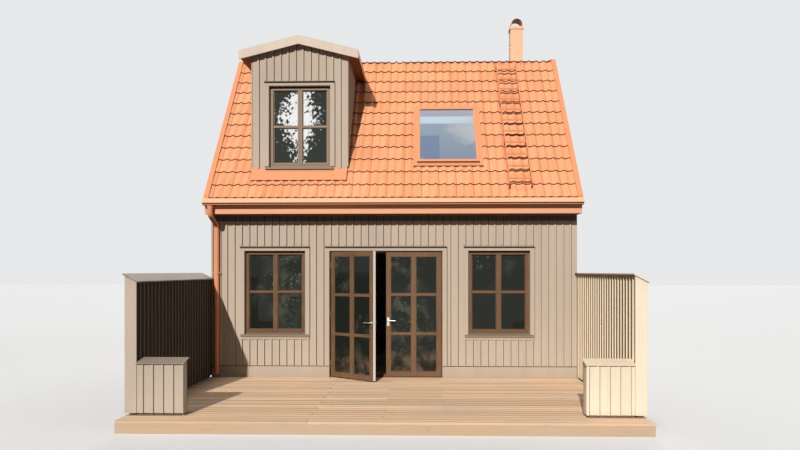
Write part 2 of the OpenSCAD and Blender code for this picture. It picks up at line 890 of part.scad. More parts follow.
// The same with a board below the window too, notched round the sill flashing
module casing_with_foot(w, h) {
    y1 = -recess;
    notch = w / 2 + sill_reach + seat_gap;
    casing(w, h);
    difference() {
        box(-w / 2 - casing_w, w / 2 + casing_w, y1 - casing_t, y1, -casing_foot_h, 0);
        box(-w / 2, w / 2, y1 - casing_t - eps, y1 + eps, -sill_bed, eps);
        box(-notch, notch, y1 - casing_t - eps, y1 + eps,
            -(recess + casing_t) * sill_slope - flashing_t - seat_gap, -recess * sill_slope + seat_gap);
    }
}

module window_casings() {
    door_foot = slab_t + plinth_h;
    color(timber) {
        at_front_windows() casing_with_foot(window_w, window_h);
        at_rear_windows() casing_with_foot(window_w, window_h);
        at_dormer_window() casing(dormer_window_w, dormer_window_h);
        translate([door_x, -frame_y, door_foot]) casing(door_w, head_z - door_foot);
        translate([rear_door_x, frame_y, door_foot]) rotate([0, 0, 180])
            casing(rear_door_w, head_z - door_foot);
    }
}

// A sloping metal strip of width w over an opening's head at height z
module head_flashing(w, z) {
    y1 = -recess;
    across(-w / 2, w / 2) polygon([
        [y1, z], [y1, z + 2.2 * flashing_t], [y1 - casing_t, z + 1.4 * flashing_t],
        [y1 - casing_t - flashing_out, z + flashing_t], [y1 - casing_t - flashing_out, z]
    ]);
}

// A sloping metal sill under a window of width w, from the frame out over the casing to a lip
module sill_flashing(w) {
    wide = w / 2 + sill_reach;
    wall_z = -recess * sill_slope;
    across(-w / 2, w / 2) polygon([
        [0, 0], [-recess, wall_z], [-recess, wall_z - flashing_t], [0, -flashing_t]
    ]);
    across(-wide, wide) polygon([
        [-recess, wall_z], [-sill_depth, -sill_fall], [-sill_depth, -sill_fall - lip_h],
        [flashing_t - sill_depth, -sill_fall - lip_h],
        [flashing_t - sill_depth, -(sill_depth - flashing_t) * sill_slope - flashing_t],
        [-recess, wall_z - flashing_t]
    ]);
}

module wall_flashings() {
    head_w = casing_w * 2;
    color(timber) {
        at_front_windows() sill_flashing(window_w);
        at_rear_windows() sill_flashing(window_w);
        at_dormer_window() sill_flashing(dormer_window_w);
        at_front_windows() head_flashing(window_w + head_w, window_h + casing_head_h);
        at_rear_windows() head_flashing(window_w + head_w, window_h + casing_head_h);
        at_dormer_window() head_flashing(dormer_window_w + head_w, dormer_window_h + casing_head_h);
        translate([door_x, -frame_y, head_z]) head_flashing(door_w + head_w, casing_head_h);
        translate([rear_door_x, frame_y, head_z]) rotate([0, 0, 180])
            head_flashing(rear_door_w + head_w, casing_head_h);
    }
}

door_face_y = face_y - door_set;
leaf_edge = door_w / 2 - frame_show - leaf_gap;
leaf_w = leaf_edge - meet_gap / 2;
leaf_z = deck_z + frame_show + leaf_gap;
leaf_h = head_z - frame_show - leaf_gap - leaf_z;
hinge_x = leaf_edge + leaf_gap / 2;
hinge_y = door_face_y + knuckle_d / 2 + knuckle_gap;
hinge_heights = [
    leaf_z + hinge_end, leaf_z + leaf_h / 2 - knuckle_h, leaf_z + leaf_h - hinge_end - 2 * knuckle_h
];

module door_frame() {
    pin_r = pin_d / 2;
    color(brown) translate([door_x, 0, 0]) {
        difference() {
            box(-door_w / 2, door_w / 2, -door_face_y, -door_face_y + door_frame_d, slab_t, head_z);
            box(-door_w / 2 + frame_show + stop_w, door_w / 2 - frame_show - stop_w,
                -door_face_y - eps, -door_face_y + door_frame_d + eps,
                deck_z + frame_show + stop_w, head_z - frame_show - stop_w);
            box(-door_w / 2 + frame_show, door_w / 2 - frame_show,
                -door_face_y - eps, -door_face_y + leaf_t + leaf_gap,
                deck_z + frame_show, head_z - frame_show);
        }
        for (sx = [-1, 1], z = hinge_heights) translate([sx * hinge_x, -hinge_y, z]) {
            cylinder(h = knuckle_h, d = knuckle_d);
            cylinder(h = 2 * knuckle_h - pin_short, r = pin_r);
            translate([sx * knuckle_d / 4, knuckle_d / 4, 0])
                box(-knuckle_d / 4, knuckle_d / 4, 0, hinge_y - door_face_y - knuckle_d / 4, 0, knuckle_h);
        }
    }
}

// A leaf drawn shut, with its hinge axis at the origin and its free edge towards +X
module leaf_shut() {
    dx = hinge_x - leaf_edge;
    dy = hinge_y - door_face_y;
    color(brown) difference() {
        union() {
            difference() {
                box(dx, dx + leaf_w, dy, dy + leaf_t, 0, leaf_h);
                translate([dx + leaf_w / 2, dy, 0])
                    lights(leaf_w, leaf_h, leaf_stile, leaf_post, leaf_bar, 3, -eps, leaf_t + eps);
            }
            for (z = hinge_heights) translate([0, 0, z - leaf_z + knuckle_h + knuckle_gap]) {
                cylinder(h = knuckle_h, d = knuckle_d);
                box(0, knuckle_d / 2, 0, dy, 0, knuckle_h);
            }
        }
        for (z = hinge_heights) translate([0, 0, z - leaf_z + knuckle_h - eps])
            cylinder(h = knuckle_h - pin_short + knuckle_gap + eps, r = pin_d / 2 + pin_gap);
    }
}

module leaf_panes() {
    dx = hinge_x - leaf_edge;
    dy = hinge_y - door_face_y;
    color(pane) translate([dx + leaf_w / 2, dy, 0])
        lights(leaf_w, leaf_h, leaf_stile, leaf_post, leaf_bar, 3,
            (leaf_t - glass_t) / 2, (leaf_t + glass_t) / 2);
}

// A lever handle with its plate on one face of a leaf, pointing back to the hinges
module lever_set() {
    translate([0, 0, -plate_h * 0.62]) box(-plate_w / 2, plate_w / 2, -plate_t, 0, 0, plate_h);
    rod([0, -plate_t, 0], [0, -lever_out, 0], lever_d);
    translate([0, -lever_out, 0]) sphere(d = lever_d);
    rod([0, -lever_out, 0], [-lever_l, -lever_out, 0], lever_d);
}

module leaf_handles() {
    dx = hinge_x - leaf_edge;
    dy = hinge_y - door_face_y;
    color(chrome) translate([dx + leaf_w - leaf_stile / 2, dy, deck_z + handle_up - leaf_z]) {
        lever_set();
        translate([0, leaf_t, 0]) mirror([0, 1, 0]) lever_set();
    }
}

module at_left_hinge() {
    translate([door_x - hinge_x, -hinge_y, leaf_z]) rotate([0, 0, -left_open]) children();
}

module at_right_hinge() {
    translate([door_x + hinge_x, -hinge_y, leaf_z]) mirror([1, 0, 0]) children();
}

module door_leaf_left() { at_left_hinge() leaf_shut(); }
module door_glass_left() { at_left_hinge() leaf_panes(); }
module door_handle_left() { at_left_hinge() leaf_handles(); }
module door_leaf_right() { at_right_hinge() leaf_shut(); }
module door_glass_right() { at_right_hinge() leaf_panes(); }
module door_handle_right() { at_right_hinge() leaf_handles(); }

module rear_door() {
    y0 = frame_y - frame_d;
    color(brown) translate([rear_door_x, 0, 0]) {
        difference() {
            box(-rear_door_w / 2, rear_door_w / 2, y0, frame_y, slab_t, head_z);
            box(-rear_door_w / 2 + rear_jamb_w, rear_door_w / 2 - rear_jamb_w,
                y0 - eps, frame_y + eps, slab_t + floor_t, head_z - rear_jamb_w);
        }
        box(-rear_door_w / 2 + rear_jamb_w, rear_door_w / 2 - rear_jamb_w,
            frame_y - rear_leaf_t - rear_leaf_set, frame_y - rear_leaf_set,
            slab_t + floor_t, head_z - rear_jamb_w);
    }
}

module rear_step() {
    color(render) box(rear_door_x - step_w / 2, rear_door_x + step_w / 2,
        core_y + plinth_t, face_y + step_d, 0, step_h);
}

// Depth of the dormer walls' top below the dormer roof's surface
dormer_top = dormer_roof_t + seat_gap;

module dormer_front() {
    color(timber) difference() {
        translate([dormer_x, 0, 0]) along(-dormer_y, -dormer_y + dormer_wall_t) polygon([
            [-dormer_w / 2, upper_z], [dormer_w / 2, upper_z],
            [dormer_w / 2, dormer_z(dormer_w / 2, dormer_top)], [0, dormer_z(0, dormer_top)],
            [-dormer_w / 2, dormer_z(dormer_w / 2, dormer_top)]
        ]);
        at_dormer_window() window_hole(dormer_window_w, dormer_window_h, dormer_wall_t);
    }
}

module dormer_cheeks() {
    front = dormer_y - dormer_wall_t;
    back = face_y - dormer_cut;
    top = dormer_ridge_z;
    color(timber) for (side = [0, 1]) difference() {
        translate([dormer_x, 0, 0]) mirror([side, 0, 0])
            across(-dormer_w / 2, -dormer_w / 2 + cheek_t) polygon([
                [-front, lower_z(front, under)], [-front, top], [-lower_y(top, bed), top],
                [-back, lower_z(back, bed)], [-back, lower_z(back, under)]
            ]);
        translate([dormer_x, 0, 0]) along(-face_y, 0) polygon([
            [-far, dormer_z(far, dormer_top)], [0, dormer_z(0, dormer_top)],
            [far, dormer_z(far, dormer_top)], [far, far], [-far, far]
        ]);
    }
}

module dormer_roof() {
    color(steel) difference() {
        dormer_roof_block();
        below_slope(bed);
    }
}

module dormer_bargeboards() {
    color(timber) translate([dormer_x, 0, 0])
        along(-dormer_y - dormer_out - barge_t, -dormer_y - dormer_out) polygon([
            [-dormer_half, dormer_z(dormer_half, 0)], [0, dormer_z(0, 0)],
            [dormer_half, dormer_z(dormer_half, 0)], [dormer_half, dormer_z(dormer_half, 0) - barge_h],
            [0, dormer_z(0, 0) - barge_h], [-dormer_half, dormer_z(dormer_half, 0) - barge_h]
        ]);
}

// Sheet that covers the tiles in front of the dormer and turns up its front
module dormer_apron() {
    y0 = dormer_y;
    z0 = lower_z(y0, -seat_gap);
    dy = apron_l * cos(lower_pitch);
    dz = apron_l * sin(lower_pitch);
    color(steel) translate([dormer_x, 0, 0]) across(-dormer_w / 2, dormer_w / 2) polygon([
        [-y0, z0], [-y0 - dy, z0 - dz], [-y0 - dy - apron_t, z0 - dz],
        [-y0 - apron_t, z0 + apron_t], [-y0 - apron_t, z0 + apron_t + apron_up],
        [-y0, z0 + apron_t + apron_up]
    ]);
}

module roof_window_frame() {
    w = skylight_w - 2 * skylight_flash;
    l = skylight_l - 2 * skylight_flash;
    f = skylight_frame;
    color(steel) on_slope() translate([skylight_x, skylight_up + skylight_l / 2, 0]) difference() {
        union() {
            box(-w / 2, w / 2, -l / 2, l / 2, -skylight_deep, skylight_raise);
            box(-skylight_w / 2, skylight_w / 2, -skylight_l / 2, skylight_l / 2, -bed, skylight_up_t);
        }
        box(-w / 2 + f, w / 2 - f, -l / 2 + f, l / 2 - f, -skylight_deep - eps, skylight_raise + eps);
    }
}

module roof_window_glass() {
    w = skylight_w - 2 * skylight_flash - 2 * skylight_frame;
    l = skylight_l - 2 * skylight_flash - 2 * skylight_frame;
    color(pane) on_slope() translate([skylight_x, skylight_up + skylight_l / 2, 0])
        box(-w / 2, w / 2, -l / 2, l / 2, skylight_raise - pane_set - glass_t, skylight_raise - pane_set);
}

module roof_ladder() {
    rungs = floor((ladder_l - rung_first) / rung_pitch) + 1;
    color(steel) on_slope() translate([ladder_x, ladder_up, 0]) {
        for (sx = [-1, 1]) translate([sx * ladder_w / 2, 0, 0]) {
            roll_z = roll_fall(ladder_x + sx * ladder_w / 2, rail_w / 2);
            box(-rail_w / 2, rail_w / 2, 0, ladder_l, ladder_raise, ladder_raise + rail_d);
            for (y = [0, ladder_l / 3, ladder_l * 2 / 3, ladder_l - ladder_foot_w])
                box(-rail_w / 2, rail_w / 2, y, y + ladder_foot_w,
                    roll_z + course_top(ladder_up + y, ladder_up + y + ladder_foot_w) + seat_gap,
                    ladder_raise + rail_d / 2);
        }
        for (i = [0 : rungs - 1])
            translate([-ladder_w / 2, rung_first + i * rung_pitch, ladder_raise + rail_d / 2])
                rotate([0, 90, 0]) cylinder(h = ladder_w, d = rung_d);
    }
}

module vent_stack() {
    color(clay) translate([half_w - stack_in, 0, 0]) difference() {
        union() {
            box(-stack_w / 2, stack_w / 2, -stack_w / 2, stack_w / 2, upper_zz(stack_w / 2, bed), stack_z);
            box(-collar_w / 2, collar_w / 2, -collar_w / 2, collar_w / 2, stack_z - collar_h, stack_z);
        }
        box(-stack_w / 2 + stack_t, stack_w / 2 - stack_t, -stack_w / 2 + stack_t, stack_w / 2 - stack_t,
            upper_zz(0, bed) + stack_t, stack_z + eps);
        across(-stack_w, stack_w) polygon([
            [stack_w, upper_zz(stack_w, bed)], [0, upper_zz(0, bed)], [-stack_w, upper_zz(stack_w, bed)]
        ]);
    }
}

// A half-round sheet on four legs over the stack's mouth
module vent_hood() {
    length = collar_w;
    color(clay) translate([half_w - stack_in, 0, stack_z]) {
        translate([0, 0, hood_leg]) along(-length / 2, length / 2) difference() {
            circle(hood_r);
            circle(hood_r - hood_t);
            translate([-hood_r, -hood_r]) square([2 * hood_r, hood_r]);
        }
        for (sx = [-1, 1], sy = [-1, 1])
            translate([sx * (hood_r - hood_t / 2), sy * (length - hood_leg_w) / 2, 0])
                box(-hood_t / 2, hood_t / 2, -hood_leg_w / 2, hood_leg_w / 2, 0, hood_leg);
    }
}

deck_x = screen_gap / 2 + screen_t;

module deck_boards() {
    color(decking) box(-deck_x, deck_x, -face_y - deck_d, -face_y, deck_z - board_t, deck_z);
}

module deck_frame() {
    top = deck_z - board_t;
    step = (2 * deck_x - joist_w) / (joists - 1);
    color(decking) {
        for (i = [0 : joists - 1])
            translate([-deck_x + i * step, 0, 0]) box(0, joist_w, -face_y - deck_d, -face_y, 0, top);
        box(-deck_x, deck_x, -face_y - deck_d, -face_y - deck_d + joist_w, 0, top);
        box(-deck_x, deck_x, -face_y - joist_w, -face_y, 0, top);
    }
}

// Section of a boarded wall of thickness t, high at x = 0 and falling by drop, on a set-back foot
module screen_section(t, h, drop) {
    top = h - cap_t - seat_gap;
    polygon([
        [foot_in, 0], [foot_in, foot_h], [0, foot_h], [0, top], [t, top - drop],
        [t, foot_h], [t - foot_in, foot_h], [t - foot_in, 0]
    ]);
}

// Section of the cap on such a wall
module cap_section(t, h, drop) {
    slope = drop / t;
    polygon([
        [-cap_out, h - cap_t + cap_out * slope], [-cap_out, h + cap_out * slope],
        [t + cap_out, h - drop - cap_out * slope], [t + cap_out, h - drop - cap_t - cap_out * slope]
    ]);
}

module at_screen(side) {
    translate([side < 0 ? -deck_x : deck_x - screen_t, 0, deck_z]) children();
}

module screen_left() {
    color(timber) at_screen(-1) along(-face_y - screen_l, -face_y) screen_section(screen_t, screen_h, cap_fall);
}

module screen_right() {
    color(timber) at_screen(1) along(-face_y - screen_l, -face_y) screen_section(screen_t, screen_h, cap_fall);
}

// Puts an outline drawn from back to front, and high at the back, along X at each low wall
module at_low_walls(more) {
    for (side = [0, 1]) mirror([side, 0, 0])
        translate([-screen_gap / 2, -face_y - screen_l + screen_t, deck_z])
            across(0, low_l + more) mirror([1, 0]) children();
}

module low_walls() {
    color(timber) at_low_walls(0) screen_section(screen_t, low_h, low_fall);
}

module terrace_caps() {
    color(timber) {
        for (side = [-1, 1]) at_screen(side)
            along(-face_y - screen_l - cap_out, -face_y - clad_t) cap_section(screen_t, screen_h, cap_fall);
        at_low_walls(cap_out) cap_section(screen_t, low_h, low_fall);
    }
}

ground_slab();
ground_floor();
upper_floor();
front_wall_left();
front_wall_right();
front_wall_head();
rear_wall();
party_wall_left();
party_wall_right();
cladding();
plinth_boards();
roof_front();
roof_rear();
roof_top();
tiles_front();
tiles_rear();
tiles_top();
ridge_tiles();
verge_flashings();
eave_boards();
gutters();
downpipes();
window_frames();
window_glass();
window_casings();
wall_flashings();
door_frame();
door_leaf_left();
door_glass_left();
door_handle_left();
door_leaf_right();
door_glass_right();
door_handle_right();
rear_door();
rear_step();
dormer_front();
dormer_cheeks();
dormer_roof();
dormer_bargeboards();
dormer_apron();
roof_window_frame();
roof_window_glass();
roof_ladder();
vent_stack();
vent_hood();
deck_boards();
deck_frame();
screen_left();
screen_right();
low_walls();
terrace_caps();
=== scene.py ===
# %% [markdown]
# A terraced house, dressed in Blender
#
# The house arrives as a fixed frame of plain solids: walls, roof decks, windows, doors, deck and screens.
# This lesson gives them their look. Each step says what a piece or a finish is on the real house, how it
# could be made, and why this way was chosen. The solids stay where they are, and nothing is resized.

# %% Load the frame
import json
import math
import random
from contextlib import contextmanager

import bpy
import numpy as np
from mathutils import Matrix, Vector


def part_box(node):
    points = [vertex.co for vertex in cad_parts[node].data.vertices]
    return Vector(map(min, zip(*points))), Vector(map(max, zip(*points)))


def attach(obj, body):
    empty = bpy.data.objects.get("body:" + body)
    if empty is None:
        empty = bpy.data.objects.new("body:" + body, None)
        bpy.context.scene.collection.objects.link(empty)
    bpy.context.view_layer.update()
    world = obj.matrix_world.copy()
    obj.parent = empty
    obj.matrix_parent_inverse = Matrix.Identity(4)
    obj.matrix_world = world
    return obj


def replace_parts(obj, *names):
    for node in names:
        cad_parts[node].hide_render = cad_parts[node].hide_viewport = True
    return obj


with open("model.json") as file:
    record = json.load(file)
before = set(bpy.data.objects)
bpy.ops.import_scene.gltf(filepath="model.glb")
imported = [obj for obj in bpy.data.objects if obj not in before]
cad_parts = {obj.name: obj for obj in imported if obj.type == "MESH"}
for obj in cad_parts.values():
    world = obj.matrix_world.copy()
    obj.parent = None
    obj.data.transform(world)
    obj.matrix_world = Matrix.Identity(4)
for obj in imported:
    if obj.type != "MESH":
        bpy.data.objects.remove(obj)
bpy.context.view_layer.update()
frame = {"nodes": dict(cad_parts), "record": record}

nodes = frame["nodes"]
scene = bpy.context.scene
chance = random.Random(52)

# %% [markdown]
# The camera comes first, because every later choice is checked through it. The photograph was taken from
# the garden, level, about eleven metres in front of the facade and a little to the right of its middle.
# The verticals are parallel, so the camera isn't tilted: the picture is shifted up instead.

# %% Camera
PICTURE_W, PICTURE_H = 800, 450
FOCAL_PX = 688.0
HORIZON_Y = 271.0
VANISH_X = 418.0
SENSOR_MM = 36.0
EYE = (0.415, -15.57, 1.91)

camera_data = bpy.data.cameras.new("garden_camera")
camera_data.sensor_width = SENSOR_MM
camera_data.lens = FOCAL_PX / PICTURE_W * SENSOR_MM
camera_data.shift_y = (HORIZON_Y - PICTURE_H / 2) / PICTURE_W
camera = bpy.data.objects.new("garden_camera", camera_data)
scene.collection.objects.link(camera)
camera.location = EYE
camera_turn = math.atan((VANISH_X - PICTURE_W / 2) / FOCAL_PX)
camera.rotation_euler = (math.radians(90), 0.0, camera_turn)
scene.camera = camera
print("camera lens", round(camera_data.lens, 2), "mm, turned", round(math.degrees(camera_turn), 2), "degrees")

# %% [markdown]
# A low morning sun stands nearly in front of the house, a little to the left, so every board edge and
# every tile nose draws a thin crisp shadow. One distant lamp takes its direction. A weak lamp from above
# lights the flat places, two more open the rear and the right end, and a pale world fills the shadows.

# %% Light and floor
SUN_WAY = (0.19, 1.0, -0.46)     # from the sun into the scene
COOL_WHITE = (0.96, 0.97, 1.0)
BACKDROP = (0.80, 0.81, 0.82)
SKY_TONE = (0.84, 0.91, 1.0)
SKY_LIGHT = 0.07
FLOOR_SEEN = 0.84
FLOOR_THROWN = 0.06

scene.view_settings.view_transform = "Standard"


def lamp(name, way, strength, softness_degrees, colour):
    """A distant lamp that shines along a direction."""
    data = bpy.data.lights.new(name, "SUN")
    data.energy = strength
    data.angle = math.radians(softness_degrees)
    data.color = colour
    made = bpy.data.objects.new(name, data)
    scene.collection.objects.link(made)
    made.rotation_euler = Vector(way).to_track_quat("-Z", "Y").to_euler()


lamp("key", SUN_WAY, 3.6, 0.8, (1.0, 0.965, 0.91))
lamp("top_fill", (0.1, 0.18, -1.0), 0.75, 16.0, (0.95, 0.97, 1.0))
lamp("rear_fill", (-0.08, -1.0, -0.5), 1.1, 40.0, COOL_WHITE)
lamp("side_fill", (-1.0, 0.1, -0.35), 0.35, 40.0, COOL_WHITE)

bpy.ops.mesh.primitive_plane_add(size=160.0, location=(0.0, 0.0, -0.001))
floor = bpy.context.object
floor.name = "studio_floor"

# %% [markdown]
# Every finish is a small shader tree. Wiring it by hand would hide the idea under node names, so one small
# class wraps a socket: a sum of two wires adds a Math node, and any other node comes from one method that
# takes its settings and its inputs. A second class holds one finish and the coordinates it reads.

# %% Shader wires
class Wire:
    """A shader socket that takes part in Python sums."""

    def __init__(self, tree, socket=None):
        self.tree = tree
        self.socket = socket

    def node(self, kind, settings=None, inputs=None, output=0):
        """Add a node: its settings first, then the values or wires of its sockets."""
        made = self.tree.nodes.new(kind)
        settings = dict(settings or {})
        stops = settings.pop("stops", ())
        for key, value in settings.items():
            setattr(made, key, value)
        for i, (place, colour) in enumerate(stops):
            ramp = made.color_ramp.elements
            stop = ramp[i] if i < len(ramp) else ramp.new(place)
            stop.position = place
            stop.color = (*colour, 1.0)
        for key, value in (inputs or {}).items():
            if isinstance(value, Wire):
                self.tree.links.new(value.socket, made.inputs[key])
            else:
                made.inputs[key].default_value = value
        return Wire(self.tree, made.outputs[output])

    def maths(self, operation, first, second=0.0):
        return self.node("ShaderNodeMath", {"operation": operation}, {0: first, 1: second})

    def size(self):
        return self.maths("ABSOLUTE", self)

    def step(self, low, high):
        """0 where this wire is below low, 1 above high, and a smooth rise between."""
        return self.node("ShaderNodeMapRange", {"interpolation_type": "SMOOTHSTEP"},
                         {"Value": self, "From Min": low, "From Max": high})

    def between(self, first, second):
        """A colour mixed from two, with this wire as the share of the second."""
        ends = [c if isinstance(c, Wire) else (*c, 1.0) for c in (first, second)]
        return self.node("ShaderNodeMix", {"data_type": "RGBA"}, {0: self, 6: ends[0], 7: ends[1]}, 2)

    def noise(self, scale, stretch=(1.0, 1.0, 1.0), detail=3.0):
        """Noise over this wire's coordinates, stretched along an axis by a small number there."""
        place = self.node("ShaderNodeMapping", {}, {"Vector": self, "Scale": stretch})
        return self.node("ShaderNodeTexNoise", {}, {"Vector": place, "Scale": scale, "Detail": detail})


# The plus, minus and times signs, each with its reflected form, so that 1 - wire works too.
for sign, operation in (("add", "ADD"), ("sub", "SUBTRACT"), ("mul", "MULTIPLY")):
    setattr(Wire, f"__{sign}__", lambda self, other, name=operation: self.maths(name, self, other))
    setattr(Wire, f"__r{sign}__", lambda self, other, name=operation: self.maths(name, other, self))

finishes = {}


class Finish:
    """One material of the record's slots, with its shader and its Object coordinates."""

    def __init__(self, slot, roughness, metallic=0.0, shine=0.12):
        self.material = bpy.data.materials.new(slot)
        self.material.use_nodes = True
        tree = self.material.node_tree
        self.shader = tree.nodes["Principled BSDF"]
        levels = {"Roughness": roughness, "Metallic": metallic, "Specular IOR Level": shine}
        for socket, value in levels.items():
            self.shader.inputs[socket].default_value = value
        self.where = Wire(tree).node("ShaderNodeTexCoord", output="Object")
        finishes[slot] = self

    def feed(self, socket, wire):
        wire.tree.links.new(wire.socket, self.shader.inputs[socket])

    def bump(self, height, distance, strength=1.0):
        self.feed("Normal", height.node("ShaderNodeBump", {}, {
            "Height": height, "Distance": distance, "Strength": strength}))

    def dress(self, colour, roughness, height, distance, strength):
        """Feed the colour and the roughness, and let a height bend the light a little."""
        self.feed("Base Color", colour)
        self.feed("Roughness", roughness)
        self.bump(height, distance, strength)

    def axis(self, index, vector=None):
        return self.where.node("ShaderNodeSeparateXYZ", {}, {0: vector or self.where}, index)

    def carried(self, name):
        """A number that a piece carries on its mesh, 0 where it has none."""
        return self.where.node("ShaderNodeAttribute", {"attribute_name": name}, output="Fac")


def tinted(colour, factor):
    return tuple(c * factor for c in colour)


print("wires ready")

# %% [markdown]
# The floor and the background are pale where the camera or a reflection sees them, and duller for the light
# that they throw back, or they would wash the shadows out. The Light Path node tells the two apart.

# %% Backdrop and floor tones
def seen_share(tree):
    """1 for a ray from the camera, off a shiny surface or through glass, and 0 for scattered light."""
    rays = [Wire(tree).node("ShaderNodeLightPath", output=name)
            for name in ("Is Camera Ray", "Is Glossy Ray", "Is Transmission Ray")]
    return rays[0].maths("MAXIMUM", rays[0], rays[1].maths("MAXIMUM", rays[1], rays[2]))


world = bpy.data.worlds.new("studio")
scene.world = world
world.use_nodes = True
sky_tone = seen_share(world.node_tree).between(tinted(SKY_TONE, SKY_LIGHT), BACKDROP)
world.node_tree.links.new(sky_tone.socket, world.node_tree.nodes["Background"].inputs["Color"])

paper = bpy.data.materials.new("studio_paper")
paper.use_nodes = True
paper_shader = paper.node_tree.nodes["Principled BSDF"]
paper_shader.inputs["Roughness"].default_value = 0.95
paper_tone = seen_share(paper.node_tree).between((FLOOR_THROWN,) * 3, (FLOOR_SEEN,) * 3)
paper.node_tree.links.new(paper_tone.socket, paper_shader.inputs["Base Color"])
floor.data.materials.append(paper)
print("backdrop", BACKDROP, "floor", FLOOR_SEEN)

# %% [markdown]
# The walls are sawn boards under matt paint. Paint on sawn wood keeps a fine upright grain, weathers in
# soft streaks and greys a little near the ground. A band close under the eave is painted dark: painted shade
# for the eave's shadow. Noise stretched along Z gives the grain and the streaks, and the height gives the
# rest. Boards also meet in thin open joints, which look nearly black, and battens and trims throw thin
# shadows: a piece that stands for such a joint or shadow carries a number that turns the paint dark there,
# so it is partly painted shade. The left screen is painted like the house and the right one cream.

# %% Painted boards
WALL_PAINT = (0.530, 0.440, 0.356)
CREAM_PAINT = (0.87, 0.755, 0.585)
BARGE_PAINT = (0.70, 0.59, 0.50)
# The dark of open joints, and of painted shade in strips, recesses and under the eave.
JOINT_AND_SHADE_TONE = (0.034, 0.024, 0.016)
EAVE_SHADOW_FOOT, EAVE_SHADOW_TOP = (2.728, 2.742), (2.822, 2.829)     # the heights where the painted eave shadow begins and ends
BARGE_LINE = (-4.345, -4.335)
MIDDLE = (-0.2, 0.2)


def painted_wood(slot, colour, grain_axis, worn_below, second, second_share):
    """Painted boards, in a second colour where second_share says so."""
    made = Finish(slot, 0.72)
    fine, broad = [55.0] * 3, [4.0] * 3
    fine[grain_axis], broad[grain_axis] = 1.6, 0.5
    grain = made.where.noise(2.0, fine, detail=4.0)
    streaks = made.where.noise(1.0, broad, detail=3.0)
    shade = (grain * 0.5 + streaks * 0.5).step(0.3, 0.7) * 0.14 + made.carried("batch") * 0.06
    painted = (0.16 - shade).between(second_share(made).between(colour, second), (0.10, 0.07, 0.05))
    height = made.axis(2)
    worn = (1.0 - height.step(worn_below * 0.3, worn_below)) * 0.25
    weathered = worn.between(painted, (0.26, 0.21, 0.165))
    # A band close under the eave is darkened: painted shade for the eave's shadow.
    painted_eave_shadow = height.step(*EAVE_SHADOW_FOOT) * (1.0 - height.step(*EAVE_SHADOW_TOP)) * 0.78
    eave_shadowed = painted_eave_shadow.between(weathered, JOINT_AND_SHADE_TONE)
    made.dress(made.carried("joint").between(eave_shadowed, JOINT_AND_SHADE_TONE), 0.62 + grain * 0.2, grain, 0.0012, 0.6)


def gable_trim(finish):
    """The dormer's bargeboards, the only painted boards so far forward."""
    return 1.0 - finish.axis(1).step(*BARGE_LINE)


def right_side(finish):
    return finish.axis(0).step(*MIDDLE)


painted_wood("painted_boards", WALL_PAINT, 2, 0.45, BARGE_PAINT, gable_trim)
painted_wood("screen_boards", WALL_PAINT, 2, 0.30, CREAM_PAINT, right_side)
print("painted boards:", WALL_PAINT, CREAM_PAINT)

# %% [markdown]
# Clay tiles come from the kiln in slightly different oranges, and rain leaves the troughs darker than the
# rolls. Each tile carries a number of its own, written on its mesh, which picks its tone. A fine noise
# gives the sandy face, and a broad one the weathering that crosses many tiles. Painted shade darkens the
# nose's edge and the shaded foot of each roll, where one tile also hooks into its neighbour. The lowest
# edge, over the gutter, is darkened by its height as painted shade.

# %% Clay tiles
CLAY = (0.81, 0.385, 0.198)
CLAY_HOOK_SHADE = (0.62, 0.15, 0.055)
CLAY_SHADE = (0.11, 0.025, 0.008)
FIRED_DARK, FIRED_PALE = (0.79, 0.355, 0.180), (0.86, 0.425, 0.230)
RAIN_STREAK = (0.50, 0.20, 0.10)
GUTTER_LINE = (3.086, 3.106)     # the heights where the shade over the gutter ends

tile = Finish("clay_tiles", 0.78)
sand = tile.where.noise(160.0, detail=2.0)
weather = tile.where.noise(1.3, detail=4.0)
fired = tile.carried("batch").between(FIRED_DARK, FIRED_PALE)
speckled = (sand.step(0.35, 0.75) * 0.20).between(fired, tinted(CLAY, 0.76))
age = weather.step(0.35, 0.8) * 0.16 + tile.carried("trough") * 0.08
aged = age.between(speckled, RAIN_STREAK)
# The nose's edge, the shaded foot of each roll and the lowest edge are painted shade.
dark = tile.carried("joint")
jointed = dark.step(0.5, 1.0).between(dark.step(0.0, 0.5).between(aged, CLAY_HOOK_SHADE), CLAY_SHADE)
gutter_edge_shade = 1.0 - tile.axis(2).step(*GUTTER_LINE)
tile.dress((gutter_edge_shade * 0.72).between(jointed, CLAY_SHADE), 0.66 + sand * 0.25, sand, 0.0012, 0.5)
print("clay:", CLAY)

# %% [markdown]
# Gutters, pipes, verges and flashings are coated sheet steel in the tiles' orange, and the sills are the
# same sheet in the walls' colour. Coated sheet is smooth and a little glossy, it dulls in soft patches and
# it is never quite flat, so a very broad, faint bump bends its highlights. Its undersides are painted darker
# as painted shade, and a lighter orange is painted where the sun falls on the gutter's front.

# %% Coated sheet
TILE_RED = (0.73, 0.305, 0.155)
SILL_TONE = (0.28, 0.225, 0.18)
STACK_TONE = (0.80, 0.49, 0.32)
PAINTED_SUN_RED = (0.97, 0.54, 0.335)
CAP_TONE = (0.80, 0.65, 0.48)
SHEET_SHADE = (0.085, 0.022, 0.008)
FACADE_LINE = (-4.45, -4.40)     # what stands before it belongs to the terrace


def underside(finish):
    """1 where a face looks down, which the finishes paint darker as painted shade, and 0 elsewhere."""
    normal = finish.where.node("ShaderNodeNewGeometry", output="Normal")
    return (finish.axis(2, normal) * -1.0).step(0.40, 0.80)


# The share of painted sunlight: a lighter orange where a piece carries the number pale.
def painted_sun_share(finish):
    return finish.carried("pale")


def right_cap(finish):
    """The caps of the right screen and low wall, in front of the house."""
    return (1.0 - finish.axis(1).step(*FACADE_LINE)) * right_side(finish)


